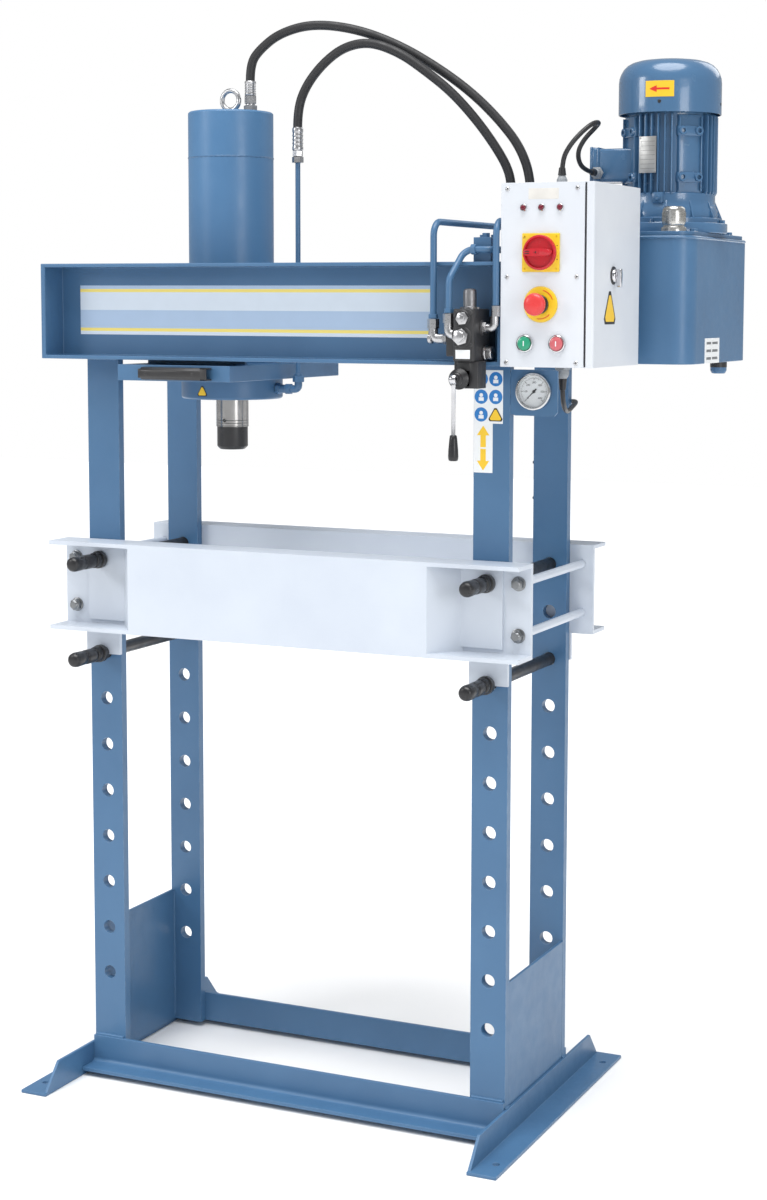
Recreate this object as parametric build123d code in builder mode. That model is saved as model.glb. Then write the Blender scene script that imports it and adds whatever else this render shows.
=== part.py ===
from build123d import *
from math import cos, pi, radians, sin, tan
import os

# Hydraulic shop press, millimetres. +X right, +Y to the rear, +Z up.
# Origin: the floor, at the centre of the four anchor holes in the feet.

# ---------------------------------------------------------------- frame
POST_WIDTH = 72.0
POST_THICK = 18.0
POST_X = 420.0                      # centre of each upright from the middle
FRAME_HALF = 161.0                  # outer faces of the uprights, from the middle
POST_BOTTOM = 10.0
BEAM_TOP = 1650.0
HOLE_PITCH = 95.0
HOLE_COUNT = 10
FIRST_HOLE_Z = 207.5
HOLE_D = 27.0
POST_OUT = POST_X + POST_WIDTH / 2  # outer edge of an upright
POST_BACK = FRAME_HALF - POST_THICK

BEAM_LEFT = -517.0
BEAM_RIGHT = 468.0
BEAM_BOTTOM = 1464.0
BEAM_DEPTH = 70.0
WEB = 8.0
FLANGE = 7.0
END_PLATE = 10.0
LEDGE_TOP = 1500.0                  # inner ledges that carry the sliding cylinder
LEDGE_DEPTH = 14.0
LEDGE_HALF = 378.0

FOOT_HALF = 345.0
FOOT_LEG = 58.0
FOOT_LEG_THICK = 6.0
FOOT_FLANGE = 58.0
FOOT_SLOPE = 50.0
ANCHOR_X = 492.0
ANCHOR_Y = 290.0
ANCHOR_D = 14.0
RAIL_TOP = 72.0
RAIL_THICK = 8.0
RAIL_FLANGE = 52.0
SIDE_PLATE_TOP = 300.0
SIDE_PLATE_THICK = 6.0

# ---------------------------------------------------------------- bed and pins
BED_HALF = 505.0
BED_BOTTOM = 924.0
BED_TOP = 1102.0
BED_GAP = 2.0                       # between the bed channels and the uprights
BED_DEPTH = 72.0
FACE_HALF = 322.0
BOSS_IN = 362.0
BOSS_OUT = 450.0
BOSS_THICK = 5.0
SADDLE_HALF = 39.0
SADDLE_BOTTOM = 870.0
TIE_X = 480.0
TIE_ZS = (967.0, 1064.0)
TIE_D = 16.0
NUT_FLATS = 24.0
NUT_LENGTH = 12.0
PIN_D = 25.0
PIN_LOW_Z = FIRST_HOLE_Z + 7 * HOLE_PITCH
PIN_HIGH_Z = FIRST_HOLE_Z + 9 * HOLE_PITCH
PIN_COLLAR_BACK = 178.5
PIN_COLLAR_FRONT = 190.0
PIN_GRIP_END = 283.0
PIN_REAR = 186.0

# ---------------------------------------------------------------- cylinder and ram
CYL_X = -216.0
CYL_R = 85.0
BORE_R = 70.0
CYL_BOTTOM = 1424.0
CYL_SEAM = 1862.0
CYL_TOP = 1953.0
PLATE_HALF_X = 125.0
PLATE_HALF_Y = 231.0
PLATE_TOP = 1455.0
HEAD_R = 102.0
HEAD_BOTTOM = 1383.0
ROD_R = 32.5
NOSE_R = 31.0
NOSE_TOP = 1326.0
NOSE_BOTTOM = 1280.0
PISTON_BOTTOM = 1795.0
PISTON_TOP = 1850.0
FIT = 0.05                          # radial clearance of a running fit
TOP_PORT_X = CYL_X + 45.0
SIDE_PIPE_X = -65.0
PIPE_R = 5.0
PORT_Z = 1404.0

# ---------------------------------------------------------------- valve
VALVE_X = (393.0, 433.0)
VALVE_Y = (-280.0, -205.0)
VALVE_Z = (1472.0, 1566.0)
SPOOL_X = 413.0
SPOOL_Y = -250.0
SPOOL_R = 8.0
LEVER_X = 405.0
LEVER_Y = -271.0
LEVER_Z = 1441.0
TUBE_R = 6.0                        # rigid hydraulic pipes
PIPE_TOP = 1722.0
PIPE_A_X = 337.0
PIPE_C_X = 459.0
PIPE_Y = -240.0

# ---------------------------------------------------------------- gauge
GAUGE_X = 504.0
GAUGE_Z = 1416.5
GAUGE_R = 34.0

# ---------------------------------------------------------------- control box
BOX_X = (468.0, 628.0)
BOX_Y = (-237.0, 5.0)
BOX_Z = (1463.0, 1788.0)
SHEET = 2.0
PANEL_Y = -240.0
DOOR_X = (630.0, 644.0)
DOOR_Y = (-241.0, 7.0)
HINGE_X = 631.0
HINGE_Y = 12.0
HINGE_ZS = (1530.0, 1710.0)
LOCK_Y = -138.0
LOCK_Z = 1626.0
LOCK_R = 12.0
SWITCH = (545.0, 1665.0)            # x, z of each device on the panel
ESTOP = (545.0, 1574.0)
START = (516.0, 1505.0)
STOP = (577.0, 1505.0)
LAMP_XS = (511.0, 545.0, 580.0)
LAMP_Z = 1744.0
TOP_GLAND = (505.0, -34.0)
LOW_GLAND = (535.0, -100.0)

# ---------------------------------------------------------------- power unit
TANK_X = (480.0, 731.0)
TANK_Y = (48.0, 441.0)
TANK_Z = (1463.0, 1703.0)
TANK_CORNER = 40.0
TANK_WALL = 3.0
DRAIN_PLUG = (712.0, 300.0)
LID_TOP = 1711.0
LID_NUT_YS = (112.0, 343.0)
MOTOR_X = 628.0
MOTOR_Y = 226.0
MOTOR_BASE = 1776.0
MOTOR_HEAD = 1940.0
COWL_TOP = 2042.0
CORE_R = 82.0
FIN_R = 93.0
COWL_R = 99.0
SHAFT_R = 12.0
PUMP_SHAFT_R = 8.0
GEAR_GAP = 36.0                     # distance between the pump's gear axes
GEAR_TEETH = 12
GEAR_Z = (1612.0, 1638.0)
PUMP_Z = (1600.0, 1660.0)
BREATHER = (684.0, 86.0)

# ---------------------------------------------------------------- cords
HOSE_R = 9.0
MOTOR_CABLE_R = 4.5
MAINS_R = 4.5
ARC_SHARE = 0.45

# Routes, as points along each cord.
HOSE_UPPER_ROUTE = [
    (-171, 0, 2013), (-171, 0, 2047), (-150, 3, 2075), (-108, 8, 2105), (-40, 18, 2121),
    (50, 30, 2108), (137, 43, 2074), (215, 54, 2028), (282, 64, 1979), (338, 72, 1924),
    (378, 78, 1872), (398, 82, 1812), (398, 82, 1760),
]
HOSE_LOWER_ROUTE = [
    (-65, 0, 1919), (-65, 0, 1956), (-46, 2, 2002), (-8, 4, 2044), (36, 6, 2072),
    (90, 8, 2079), (150, 16, 2056), (199, 26, 2021), (247, 38, 1982), (290, 50, 1934),
    (326, 62, 1884), (352, 76, 1836), (358, 82, 1798), (358, 82, 1760),
]
MOTOR_CABLE_ROUTE = [
    (505, -34, 1812), (505, -34, 1840), (516, -27, 1866), (532, -12, 1890), (548, 10, 1910),
    (551, 42, 1914), (532, 64, 1904), (510, 70, 1886), (497, 68, 1862), (496, 84, 1838),
    (505, 110, 1827), (505, 138, 1827),
]
MAINS_ROUTE = [
    (535, -100, 1438), (535, -100, 1405), (526, -66, 1383), (511, -14, 1374), (496, 40, 1373),
    (482, 94, 1377), (471, 148, 1384), (450, 187, 1385), (420, 198, 1369), (406, 184, 1342),
    (406, 181, 1312),
]
HANK_X = (373.0, 439.0)             # the folded mains lead, hung on its hook
HANK_Y = (167.0, 195.0)
HANK_Z = (1135.0, 1312.0)
HANK_SIDE = 18.0
PLUG_X = 400.0
PLUG_Z = (1150.0, 1228.0)
PLUG_R = 21.0
PLUG_Y = HANK_Y[1] + PLUG_R

os.makedirs("parts", exist_ok=True)


# ---------------------------------------------------------------- helpers
def block(x, y, z, mode=Mode.ADD):
    """A block that fills the three (low, high) ranges."""
    middle = [(low + high) / 2 for low, high in (x, y, z)]
    with Locations(tuple(middle)):
        Box(x[1] - x[0], y[1] - y[0], z[1] - z[0], mode=mode)


def rod_x(y, z, radius, x, mode=Mode.ADD):
    """A round bar along X."""
    with Locations(Location((x[0], y, z), (0, 90, 0))):
        Cylinder(radius, x[1] - x[0], align=(Align.CENTER, Align.CENTER, Align.MIN), mode=mode)


def rod_y(x, z, radius, y, mode=Mode.ADD):
    """A round bar along Y."""
    with Locations(Location((x, y[0], z), (-90, 0, 0))):
        Cylinder(radius, y[1] - y[0], align=(Align.CENTER, Align.CENTER, Align.MIN), mode=mode)


def rod_z(x, y, radius, z, mode=Mode.ADD):
    """A round bar along Z."""
    with Locations((x, y, z[0])):
        Cylinder(radius, z[1] - z[0], align=(Align.CENTER, Align.CENTER, Align.MIN), mode=mode)


def nut_y(x, z, flats, y):
    """A hexagon nut, its axis along Y."""
    with BuildSketch(Plane.XZ.offset(-y[0])) as hexagon:
        with Locations((x, z)):
            RegularPolygon(flats / 2, 6, major_radius=False)
    extrude(hexagon.sketch, amount=-(y[1] - y[0]))


def nut_x(y, z, flats, x):
    """A hexagon nut, its axis along X."""
    with BuildSketch(Plane.YZ.offset(x[0])) as hexagon:
        with Locations((y, z)):
            RegularPolygon(flats / 2, 6, major_radius=False)
    extrude(hexagon.sketch, amount=x[1] - x[0])


def nut_z(x, y, flats, z):
    """A hexagon nut, its axis along Z."""
    with BuildSketch(Plane.XY.offset(z[0])) as hexagon:
        with Locations((x, y)):
            RegularPolygon(flats / 2, 6, major_radius=False)
    extrude(hexagon.sketch, amount=z[1] - z[0])


def turned(x, y, outline):
    """A turned shape about a vertical axis at x, y, from its (radius, z) outline."""
    with BuildSketch(Plane((x, y, 0), x_dir=(1, 0, 0), z_dir=(0, -1, 0))) as section:
        with BuildLine():
            Polyline(*outline, close=True)
        make_face()
    revolve(section.sketch, axis=Axis((x, y, 0), (0, 0, 1)))


def turned_y(x, z, outline):
    """A turned shape about an axis along Y at x, z, from its (radius, y) outline."""
    with BuildSketch(Plane((x, 0, z), x_dir=(1, 0, 0), z_dir=(0, 0, 1))) as section:
        with BuildLine():
            Polyline(*outline, close=True)
        make_face()
    revolve(section.sketch, axis=Axis((x, 0, z), (0, 1, 0)))


def corner_radii(points):
    """The largest even arcs that a route's runs leave room for."""
    corners = [Vector(*point) for point in points]
    radii = []
    for before, here, after in zip(corners, corners[1:], corners[2:]):
        arriving = here - before
        leaving = after - here
        half_turn = radians(arriving.get_angle(leaving)) / 2
        radii.append(ARC_SHARE * min(arriving.length, leaving.length) / tan(half_turn))
    return radii


def tube(points, radius, radii=None):
    """A round tube along straight runs joined by arcs."""
    if radii is None:
        radii = corner_radii(points)
    with BuildLine() as path:
        FilletPolyline(*points, radius=radii)
    route = path.wires()[0]
    with BuildSketch(Plane(route @ 0, z_dir=route % 0)) as section:
        Circle(radius)
    sweep(section.sketch, path=route)
    return route.length


def finish(part, name):
    """Label one finished piece and write it."""
    part.label = name
    export_step(part, f"parts/{name}.step")


# ---------------------------------------------------------------- frame pieces
def post_span(front):
    """The Y range of a front or a rear upright."""
    if front:
        return (-FRAME_HALF, -POST_BACK)
    return (POST_BACK, FRAME_HALF)


for side, x in (("left", -POST_X), ("right", POST_X)):
    for place, front in (("front", True), ("rear", False)):
        with BuildPart() as upright:
            y = post_span(front)
            block((x - POST_WIDTH / 2, x + POST_WIDTH / 2), y, (POST_BOTTOM, BEAM_TOP))
            for step in range(HOLE_COUNT):
                hole_z = FIRST_HOLE_Z + step * HOLE_PITCH
                rod_y(x, hole_z, HOLE_D / 2, (y[0] - 1, y[1] + 1), mode=Mode.SUBTRACT)
        finish(upright.part, f"upright_{place}_{side}")

for place, sign in (("front", -1), ("rear", 1)):
    with BuildPart() as beam:
        tip = sign * (FRAME_HALF + BEAM_DEPTH)
        web_out = sign * (FRAME_HALF + WEB)
        web_in = sign * FRAME_HALF
        ledge = sign * (FRAME_HALF - LEDGE_DEPTH)
        block((BEAM_LEFT, BEAM_RIGHT), sorted((web_in, web_out)), (BEAM_BOTTOM, BEAM_TOP))
        for low, high in ((BEAM_BOTTOM, BEAM_BOTTOM + FLANGE), (BEAM_TOP - FLANGE, BEAM_TOP)):
            block((BEAM_LEFT, BEAM_RIGHT), sorted((web_in, tip)), (low, high))
        for low, high in ((BEAM_LEFT, BEAM_LEFT + END_PLATE), (BEAM_RIGHT - END_PLATE, BEAM_RIGHT)):
            block((low, high), sorted((web_in, tip)), (BEAM_BOTTOM, BEAM_TOP))
        block((-LEDGE_HALF, LEDGE_HALF), sorted((web_in, ledge)), (LEDGE_TOP - 10, LEDGE_TOP))
    finish(beam.part, f"top_beam_{place}")

for side, sign in (("left", -1), ("right", 1)):
    with BuildPart() as foot:
        leg_x = sorted((sign * POST_OUT, sign * (POST_OUT + FOOT_LEG_THICK)))
        with BuildSketch(Plane.YZ.offset(leg_x[0])):
            with BuildLine():
                Polyline(
                    (-FOOT_HALF, 0), (FOOT_HALF, 0), (FOOT_HALF - FOOT_SLOPE, FOOT_LEG),
                    (-FOOT_HALF + FOOT_SLOPE, FOOT_LEG), close=True,
                )
            make_face()
        extrude(amount=FOOT_LEG_THICK)
        flange_x = sorted((sign * POST_OUT, sign * (POST_OUT + FOOT_FLANGE)))
        block(flange_x, (-FOOT_HALF, FOOT_HALF), (0, FOOT_LEG_THICK))
        for y in (-ANCHOR_Y, ANCHOR_Y):
            rod_z(sign * ANCHOR_X, y, ANCHOR_D / 2, (-1, FOOT_LEG_THICK + 1), mode=Mode.SUBTRACT)
    finish(foot.part, f"foot_{side}")

    with BuildPart() as side_plate:
        plate_x = sorted((sign * (POST_OUT - SIDE_PLATE_THICK), sign * POST_OUT))
        block(plate_x, (-POST_BACK, POST_BACK), (POST_BOTTOM, SIDE_PLATE_TOP))
    finish(side_plate.part, f"side_plate_{side}")

for place, sign in (("front", -1), ("rear", 1)):
    with BuildPart() as rail:
        face = sign * FRAME_HALF
        outer = sign * (FRAME_HALF + RAIL_THICK)
        tip = sign * (FRAME_HALF + RAIL_FLANGE)
        block((-POST_OUT, POST_OUT), sorted((face, outer)), (POST_BOTTOM, RAIL_TOP))
        block((-POST_OUT, POST_OUT), sorted((face, tip)), (POST_BOTTOM, POST_BOTTOM + RAIL_THICK))
        inner_edge = rail.edges().filter_by(Axis.X).filter_by_position(
            Axis.Z, POST_BOTTOM + RAIL_THICK - 0.1, POST_BOTTOM + RAIL_THICK + 0.1
        ).filter_by_position(Axis.Y, outer - 0.1, outer + 0.1)
        fillet(inner_edge, 8)
    finish(rail.part, f"base_rail_{place}")


# ---------------------------------------------------------------- bed
def slanted_end(side, tip, web_out):
    """The bent end that brings a bed's face plate back to the web."""
    corners = [
        (side * (FACE_HALF - WEB), tip), (side * FACE_HALF, tip), (side * (BOSS_IN + WEB), web_out),
        (side * (BOSS_IN - WEB), web_out),
    ]
    with BuildSketch(Plane.XY.offset(BED_BOTTOM + WEB)) as plan:
        with BuildLine():
            Polyline(*corners, close=True)
        make_face()
    extrude(plan.sketch, amount=BED_TOP - BED_BOTTOM - 2 * WEB)


for place, sign in (("front", -1), ("rear", 1)):
    with BuildPart() as bed:
        web_in = sign * (FRAME_HALF + BED_GAP)
        web_out = sign * (FRAME_HALF + BED_GAP + WEB)
        tip = sign * (FRAME_HALF + BED_DEPTH)
        boss = sign * (FRAME_HALF + BED_GAP + WEB + BOSS_THICK)
        web_y = sorted((web_in, web_out))
        block((-BED_HALF, BED_HALF), web_y, (BED_BOTTOM, BED_TOP))
        for low, high in ((BED_BOTTOM, BED_BOTTOM + WEB), (BED_TOP - WEB, BED_TOP)):
            block((-BED_HALF, BED_HALF), sorted((web_in, tip)), (low, high))
        for x in (-POST_X, POST_X):
            block((x - SADDLE_HALF, x + SADDLE_HALF), web_y, (SADDLE_BOTTOM, BED_BOTTOM))
        # face plate between the flange tips, boss plates round the pin holes
        face_y = sorted((tip, tip - sign * WEB))
        block((-FACE_HALF, FACE_HALF), face_y, (BED_BOTTOM + WEB, BED_TOP - WEB))
        for side in (-1, 1):
            slanted_end(side, tip, web_out)
        for x in (-1, 1):
            boss_x = sorted((x * BOSS_IN, x * BOSS_OUT))
            block(boss_x, sorted((web_out, boss)), (BED_BOTTOM + 16, BED_TOP - 16))
        reach = sorted((web_in - sign, boss + sign))
        for x in (-POST_X, POST_X):
            for z in (PIN_LOW_Z, PIN_HIGH_Z):
                rod_y(x, z, HOLE_D / 2, reach, mode=Mode.SUBTRACT)
        for x in (-TIE_X, TIE_X):
            for z in TIE_ZS:
                rod_y(x, z, TIE_D / 2, reach, mode=Mode.SUBTRACT)
    finish(bed.part, f"bed_channel_{place}")

with BuildPart() as tie_rods:
    nut_face = FRAME_HALF + BED_GAP + WEB
    for x in (-TIE_X, TIE_X):
        for z in TIE_ZS:
            rod_y(x, z, TIE_D / 2, (-nut_face - NUT_LENGTH - 5, nut_face + NUT_LENGTH + 5))
            nut_y(x, z, NUT_FLATS, (-nut_face - NUT_LENGTH, -nut_face))
            nut_y(x, z, NUT_FLATS, (nut_face, nut_face + NUT_LENGTH))
finish(tie_rods.part, "bed_tie_rods")

# The ribbed grip at a pin's front end.
GRIP_R = 13.0
GRIP_RIB_R = 15.0
GRIP_RIBS = 5

for level, z in (("lower", PIN_LOW_Z), ("upper", PIN_HIGH_Z)):
    for side, x in (("left", -POST_X), ("right", POST_X)):
        with BuildPart() as pin:
            rod_y(x, z, PIN_D / 2, (-PIN_COLLAR_BACK, PIN_REAR))
            rod_y(x, z, 17, (-PIN_COLLAR_FRONT, -PIN_COLLAR_BACK))
            chamfer(pin.faces().sort_by(Axis.Y)[-1].edges(), 2)
        with BuildPart() as grip:
            rod_y(x, z, GRIP_R, (-PIN_GRIP_END, -PIN_COLLAR_FRONT))
            for rib in range(GRIP_RIBS):
                start = -PIN_COLLAR_FRONT - 20 - rib * 14
                rod_y(x, z, GRIP_RIB_R, (start, start + 9))
            fillet(grip.faces().sort_by(Axis.Y)[0].edges(), 5)
        finish(Compound(children=[pin.part, grip.part]), f"pin_{level}_{side}")


# ---------------------------------------------------------------- carriage and cylinder
with BuildPart() as carriage:
    plate_x = (CYL_X - PLATE_HALF_X, CYL_X + PLATE_HALF_X)
    block(plate_x, (-PLATE_HALF_Y, PLATE_HALF_Y), (CYL_BOTTOM, PLATE_TOP))
    for sign in (-1, 1):
        hanger_y = sorted((sign * 144, sign * 134))
        block((CYL_X - 110, CYL_X + 110), hanger_y, (PLATE_TOP, 1530))
        for x in (CYL_X - 85, CYL_X + 85):
            pad_y = sorted((sign * 144, sign * 158))
            block((x - 20, x + 20), pad_y, (LEDGE_TOP + 0.3, LEDGE_TOP + 22))
    rod_z(CYL_X, 0, CYL_R, (CYL_BOTTOM - 1, PLATE_TOP + 1), mode=Mode.SUBTRACT)
finish(carriage.part, "carriage_plate")

with BuildPart() as handle:
    block((-284, -130), (-PLATE_HALF_Y - 22, -PLATE_HALF_Y), (CYL_BOTTOM + 3, CYL_BOTTOM + 27))
    chamfer(handle.faces().sort_by(Axis.Y)[0].edges(), 3)
finish(handle.part, "carriage_handle")

with BuildPart() as cylinder:
    rod_z(CYL_X, 0, CYL_R, (CYL_BOTTOM, CYL_SEAM))
    rod_z(CYL_X, 0, BORE_R, (CYL_BOTTOM - 1, CYL_SEAM + 1), mode=Mode.SUBTRACT)
with BuildPart() as cylinder_cap:
    rod_z(CYL_X, 0, CYL_R, (CYL_SEAM, CYL_TOP))
    chamfer(cylinder_cap.faces().sort_by(Axis.Z)[-1].edges(), 3)
    rod_z(CYL_X, 0, BORE_R, (CYL_SEAM - 1, CYL_SEAM + 40), mode=Mode.SUBTRACT)
    rod_z(TOP_PORT_X, 0, 6, (CYL_SEAM, CYL_TOP + 1), mode=Mode.SUBTRACT)
finish(Compound(children=[cylinder.part, cylinder_cap.part]), "cylinder_tube")

with BuildPart() as head:
    rod_z(CYL_X, 0, HEAD_R, (HEAD_BOTTOM, CYL_BOTTOM))
    chamfer(head.faces().sort_by(Axis.Z)[0].edges(), 3)
    rod_z(CYL_X, 0, ROD_R + FIT, (HEAD_BOTTOM - 1, CYL_BOTTOM + 1), mode=Mode.SUBTRACT)
finish(head.part, "cylinder_head")

with BuildPart() as eyebolt:
    ring_z = CYL_TOP + 24
    with BuildSketch(Plane.XY.offset(ring_z)):
        with Locations((CYL_X + 19, 0)):
            Circle(5)
    revolve(axis=Axis((CYL_X, 0, ring_z), (0, 1, 0)))
    rod_z(CYL_X, 0, 11, (CYL_TOP, CYL_TOP + 6))
finish(eyebolt.part, "eyebolt")

with BuildPart() as fittings:
    nut_z(TOP_PORT_X, 0, 24, (CYL_TOP, CYL_TOP + 14))
    nut_z(TOP_PORT_X, 0, 20, (CYL_TOP + 14, CYL_TOP + 32))
    rod_z(TOP_PORT_X, 0, 11.5, (CYL_TOP + 32, HOSE_UPPER_ROUTE[0][2]))
    nut_z(SIDE_PIPE_X, 0, 20, (1850, 1874))
    rod_z(SIDE_PIPE_X, 0, 11, (1874, HOSE_LOWER_ROUTE[0][2]))
    tube(
        [(SIDE_PIPE_X, 0, 1850), (SIDE_PIPE_X, 0, PORT_Z), (CYL_X + HEAD_R + 12, 0, PORT_Z)],
        PIPE_R, [16],
    )
    nut_x(0, PORT_Z, 20, (CYL_X + HEAD_R, CYL_X + HEAD_R + 14))
finish(fittings.part, "cylinder_fittings")

with BuildPart() as piston:
    rod_z(CYL_X, 0, BORE_R - FIT, (PISTON_BOTTOM, PISTON_TOP))
    for low in (PISTON_BOTTOM + 12, PISTON_BOTTOM + 36):
        rod_z(CYL_X, 0, BORE_R, (low, low + 6), mode=Mode.SUBTRACT)
        rod_z(CYL_X, 0, BORE_R - 6, (low, low + 6))
finish(piston.part, "piston")

with BuildPart() as ram_rod:
    rod_z(CYL_X, 0, ROD_R, (NOSE_TOP, PISTON_BOTTOM))
    rod_y(CYL_X, 1339, 4, (-ROD_R - 1, -ROD_R + 10), mode=Mode.SUBTRACT)
finish(ram_rod.part, "ram_rod")

with BuildPart() as nose:
    rod_z(CYL_X, 0, NOSE_R, (NOSE_BOTTOM, NOSE_TOP))
    chamfer(nose.faces().sort_by(Axis.Z)[0].edges(), 6)
finish(nose.part, "ram_nose")


# ---------------------------------------------------------------- hoses
def cord(name, route, radius):
    """One cord's tube, with its length checked against its volume."""
    with BuildPart() as run:
        length = tube(route, radius)
    radii = ", ".join(f"{r:.0f}" for r in corner_radii(route))
    filled = run.part.volume / (pi * radius**2 * length)
    print(f"{name}: {length:.0f} mm, radii {radii}, volume / (section x length) {filled:.3f}")
    finish(run.part, name)


cord("hose_upper", HOSE_UPPER_ROUTE, HOSE_R)
cord("hose_lower", HOSE_LOWER_ROUTE, HOSE_R)


# ---------------------------------------------------------------- valve
CHAMBER_X = (396.0, 422.0)
CHAMBER_Z = (1428.0, 1456.0)

with BuildPart() as valve:
    block(VALVE_X, VALVE_Y, VALVE_Z)
    block((366, VALVE_X[0]), (-250, VALVE_Y[1]), (1480, 1560))
    rod_z(SPOOL_X, SPOOL_Y, SPOOL_R + FIT, (VALVE_Z[0] - 1, VALVE_Z[1] + 1), mode=Mode.SUBTRACT)
with BuildPart() as valve_mount:
    block((380, 430), (VALVE_Y[1], -FRAME_HALF - WEB), (1480, 1552))
with BuildPart() as lever_mount:
    block((392, 438), (LEVER_Y, -232), (1424, VALVE_Z[0]))
    block(CHAMBER_X, (LEVER_Y - 1, -238), CHAMBER_Z, mode=Mode.SUBTRACT)
    rod_z(SPOOL_X, SPOOL_Y, SPOOL_R + 1, (CHAMBER_Z[1] - 1, VALVE_Z[0] + 1), mode=Mode.SUBTRACT)
with BuildPart() as spring_cap:
    rod_z(SPOOL_X, SPOOL_Y, 12, (VALVE_Z[1], 1602))
    chamfer(spring_cap.faces().sort_by(Axis.Z)[-1].edges(), 2)
    rod_z(SPOOL_X, SPOOL_Y, SPOOL_R + 1, (VALVE_Z[1] - 1, 1597), mode=Mode.SUBTRACT)
valve_pieces = [valve.part, valve_mount.part, lever_mount.part, spring_cap.part]
finish(Compound(children=valve_pieces), "valve_body")

with BuildPart() as spool:
    rod_z(SPOOL_X, SPOOL_Y, SPOOL_R, (1463, 1588))
    for low in (1488, 1512, 1536):
        rod_z(SPOOL_X, SPOOL_Y, SPOOL_R + 1, (low, low + 8), mode=Mode.SUBTRACT)
        rod_z(SPOOL_X, SPOOL_Y, SPOOL_R - 3, (low, low + 8))
finish(spool.part, "valve_spool")

with BuildPart() as fittings:
    # left elbow: out of the side port, then up to pipe A
    rod_x(PIPE_Y, 1512, 9, (PIPE_A_X, 366))
    rod_z(PIPE_A_X, PIPE_Y, 9, (1503, 1530))
    nut_z(PIPE_A_X, PIPE_Y, 19, (1530, 1548))
    # second elbow, in front of the side block
    rod_x(-266, 1520, 9, (379, VALVE_X[0]))
    rod_z(379, -266, 9, (1511, 1540))
    nut_z(379, -266, 19, (1540, 1558))
    # right elbow
    rod_x(PIPE_Y, 1532, 9, (VALVE_X[1], PIPE_C_X))
    rod_z(PIPE_C_X, PIPE_Y, 7.5, (1523, 1552))
    nut_z(PIPE_C_X, PIPE_Y, 14, (1552, 1572))
    # unions and plugs on the faces
    nut_y(409, 1516, 28, (VALVE_Y[0] - 14, VALVE_Y[0]))
    nut_y(412, 1549, 22, (VALVE_Y[0] - 11, VALVE_Y[0]))
    rod_x(-228, 1487, 14, (VALVE_X[1], VALVE_X[1] + 18))
finish(fittings.part, "valve_fittings")

with BuildPart() as lever_arm:
    rod_y(LEVER_X, LEVER_Z, 5, (-300, LEVER_Y + 8))
    rod_x(-303, LEVER_Z, 9, (LEVER_X - 6, LEVER_X + 6))
    rod_x(-303, LEVER_Z, 3, (LEVER_X - 7, LEVER_X + 7), mode=Mode.SUBTRACT)
    rod_z(LEVER_X, -303, 4, (1342, LEVER_Z - 6))
with BuildPart() as lever_boot:
    turned_y(
        LEVER_X, LEVER_Z,
        [(5, -277), (19, -277), (19, -281), (16, -283), (18, -285), (15, -288), (15, -292), (5, -292)],
    )
with BuildPart() as lever_grip:
    turned(LEVER_X, -303, [(0, 1296), (8, 1296), (9.5, 1302), (6, 1342), (0, 1342)])
finish(Compound(children=[lever_arm.part, lever_boot.part, lever_grip.part]), "valve_lever")


# ---------------------------------------------------------------- rigid pipes
MANIFOLD_X = (404.0, 438.0)
MANIFOLD_Y = (-214.0, -178.0)
MANIFOLD_Z = (BEAM_TOP, 1694.0)
BEND = 26.0

with BuildPart() as pipes:
    tube(
        [(PIPE_A_X, PIPE_Y, 1548), (PIPE_A_X, PIPE_Y, PIPE_TOP), (345, 60, PIPE_TOP),
         (358, 82, PIPE_TOP + 2), (358, 82, 1740)], TUBE_R, [BEND, 12, 9],
    )
    tube(
        [(PIPE_C_X, PIPE_Y, 1572), (PIPE_C_X, PIPE_Y, PIPE_TOP),
         (430, 70, PIPE_TOP), (398, 82, PIPE_TOP + 2), (398, 82, 1740)], TUBE_R, [BEND, 12, 9],
    )
    tube(
        [(379, -266, 1558), (379, -266, 1618), (392, -224, 1672), (446, -224, 1672),
         (446, 96, 1672), (TANK_X[0], 96, 1672)], TUBE_R, [26, 22, 14, 14],
    )
    tube(
        [(424, MANIFOLD_Y[1], 1673), (424, 140, 1673), (TANK_X[0], 140, 1673)], TUBE_R, [BEND],
    )
    for x in (358, 398):
        nut_z(x, 82, 20, (1738, 1760))
    block(MANIFOLD_X, MANIFOLD_Y, MANIFOLD_Z)
    nut_z(421, -196, 13, (MANIFOLD_Z[1], MANIFOLD_Z[1] + 8))
finish(pipes.part, "hydraulic_pipes")


# ---------------------------------------------------------------- gauge
GAUGE_BACK = -FRAME_HALF + 1

with BuildPart() as gauge_bracket:
    block((POST_OUT, 548), (GAUGE_BACK, GAUGE_BACK + 4), (1372, 1456))
    rod_y(GAUGE_X, GAUGE_Z, 31, (GAUGE_BACK - 1, GAUGE_BACK + 5), mode=Mode.SUBTRACT)
with BuildPart() as gauge_case:
    turned_y(
        GAUGE_X, GAUGE_Z,
        [(0, -136), (31, -136), (31, GAUGE_BACK), (GAUGE_R, GAUGE_BACK), (GAUGE_R, -173),
         (29, -173), (29, -163), (0, -163)],
    )
    rod_y(GAUGE_X, GAUGE_Z, 8, (-136, -118))
finish(Compound(children=[gauge_bracket.part, gauge_case.part]), "gauge_case")

with BuildPart() as glass:
    rod_y(GAUGE_X, GAUGE_Z, 29, (-172, -170.5))
finish(glass.part, "gauge_glass")

with BuildPart() as needle:
    rod_y(GAUGE_X, GAUGE_Z, 3, (-167, -163.4))
    with BuildSketch(Plane.XZ.offset(165)):
        with Locations(Location((GAUGE_X, GAUGE_Z, 0), (0, 0, 225))):
            with Locations((8, 0)):
                Rectangle(30, 1.6)
    extrude(amount=1)
finish(needle.part, "gauge_needle")


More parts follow.
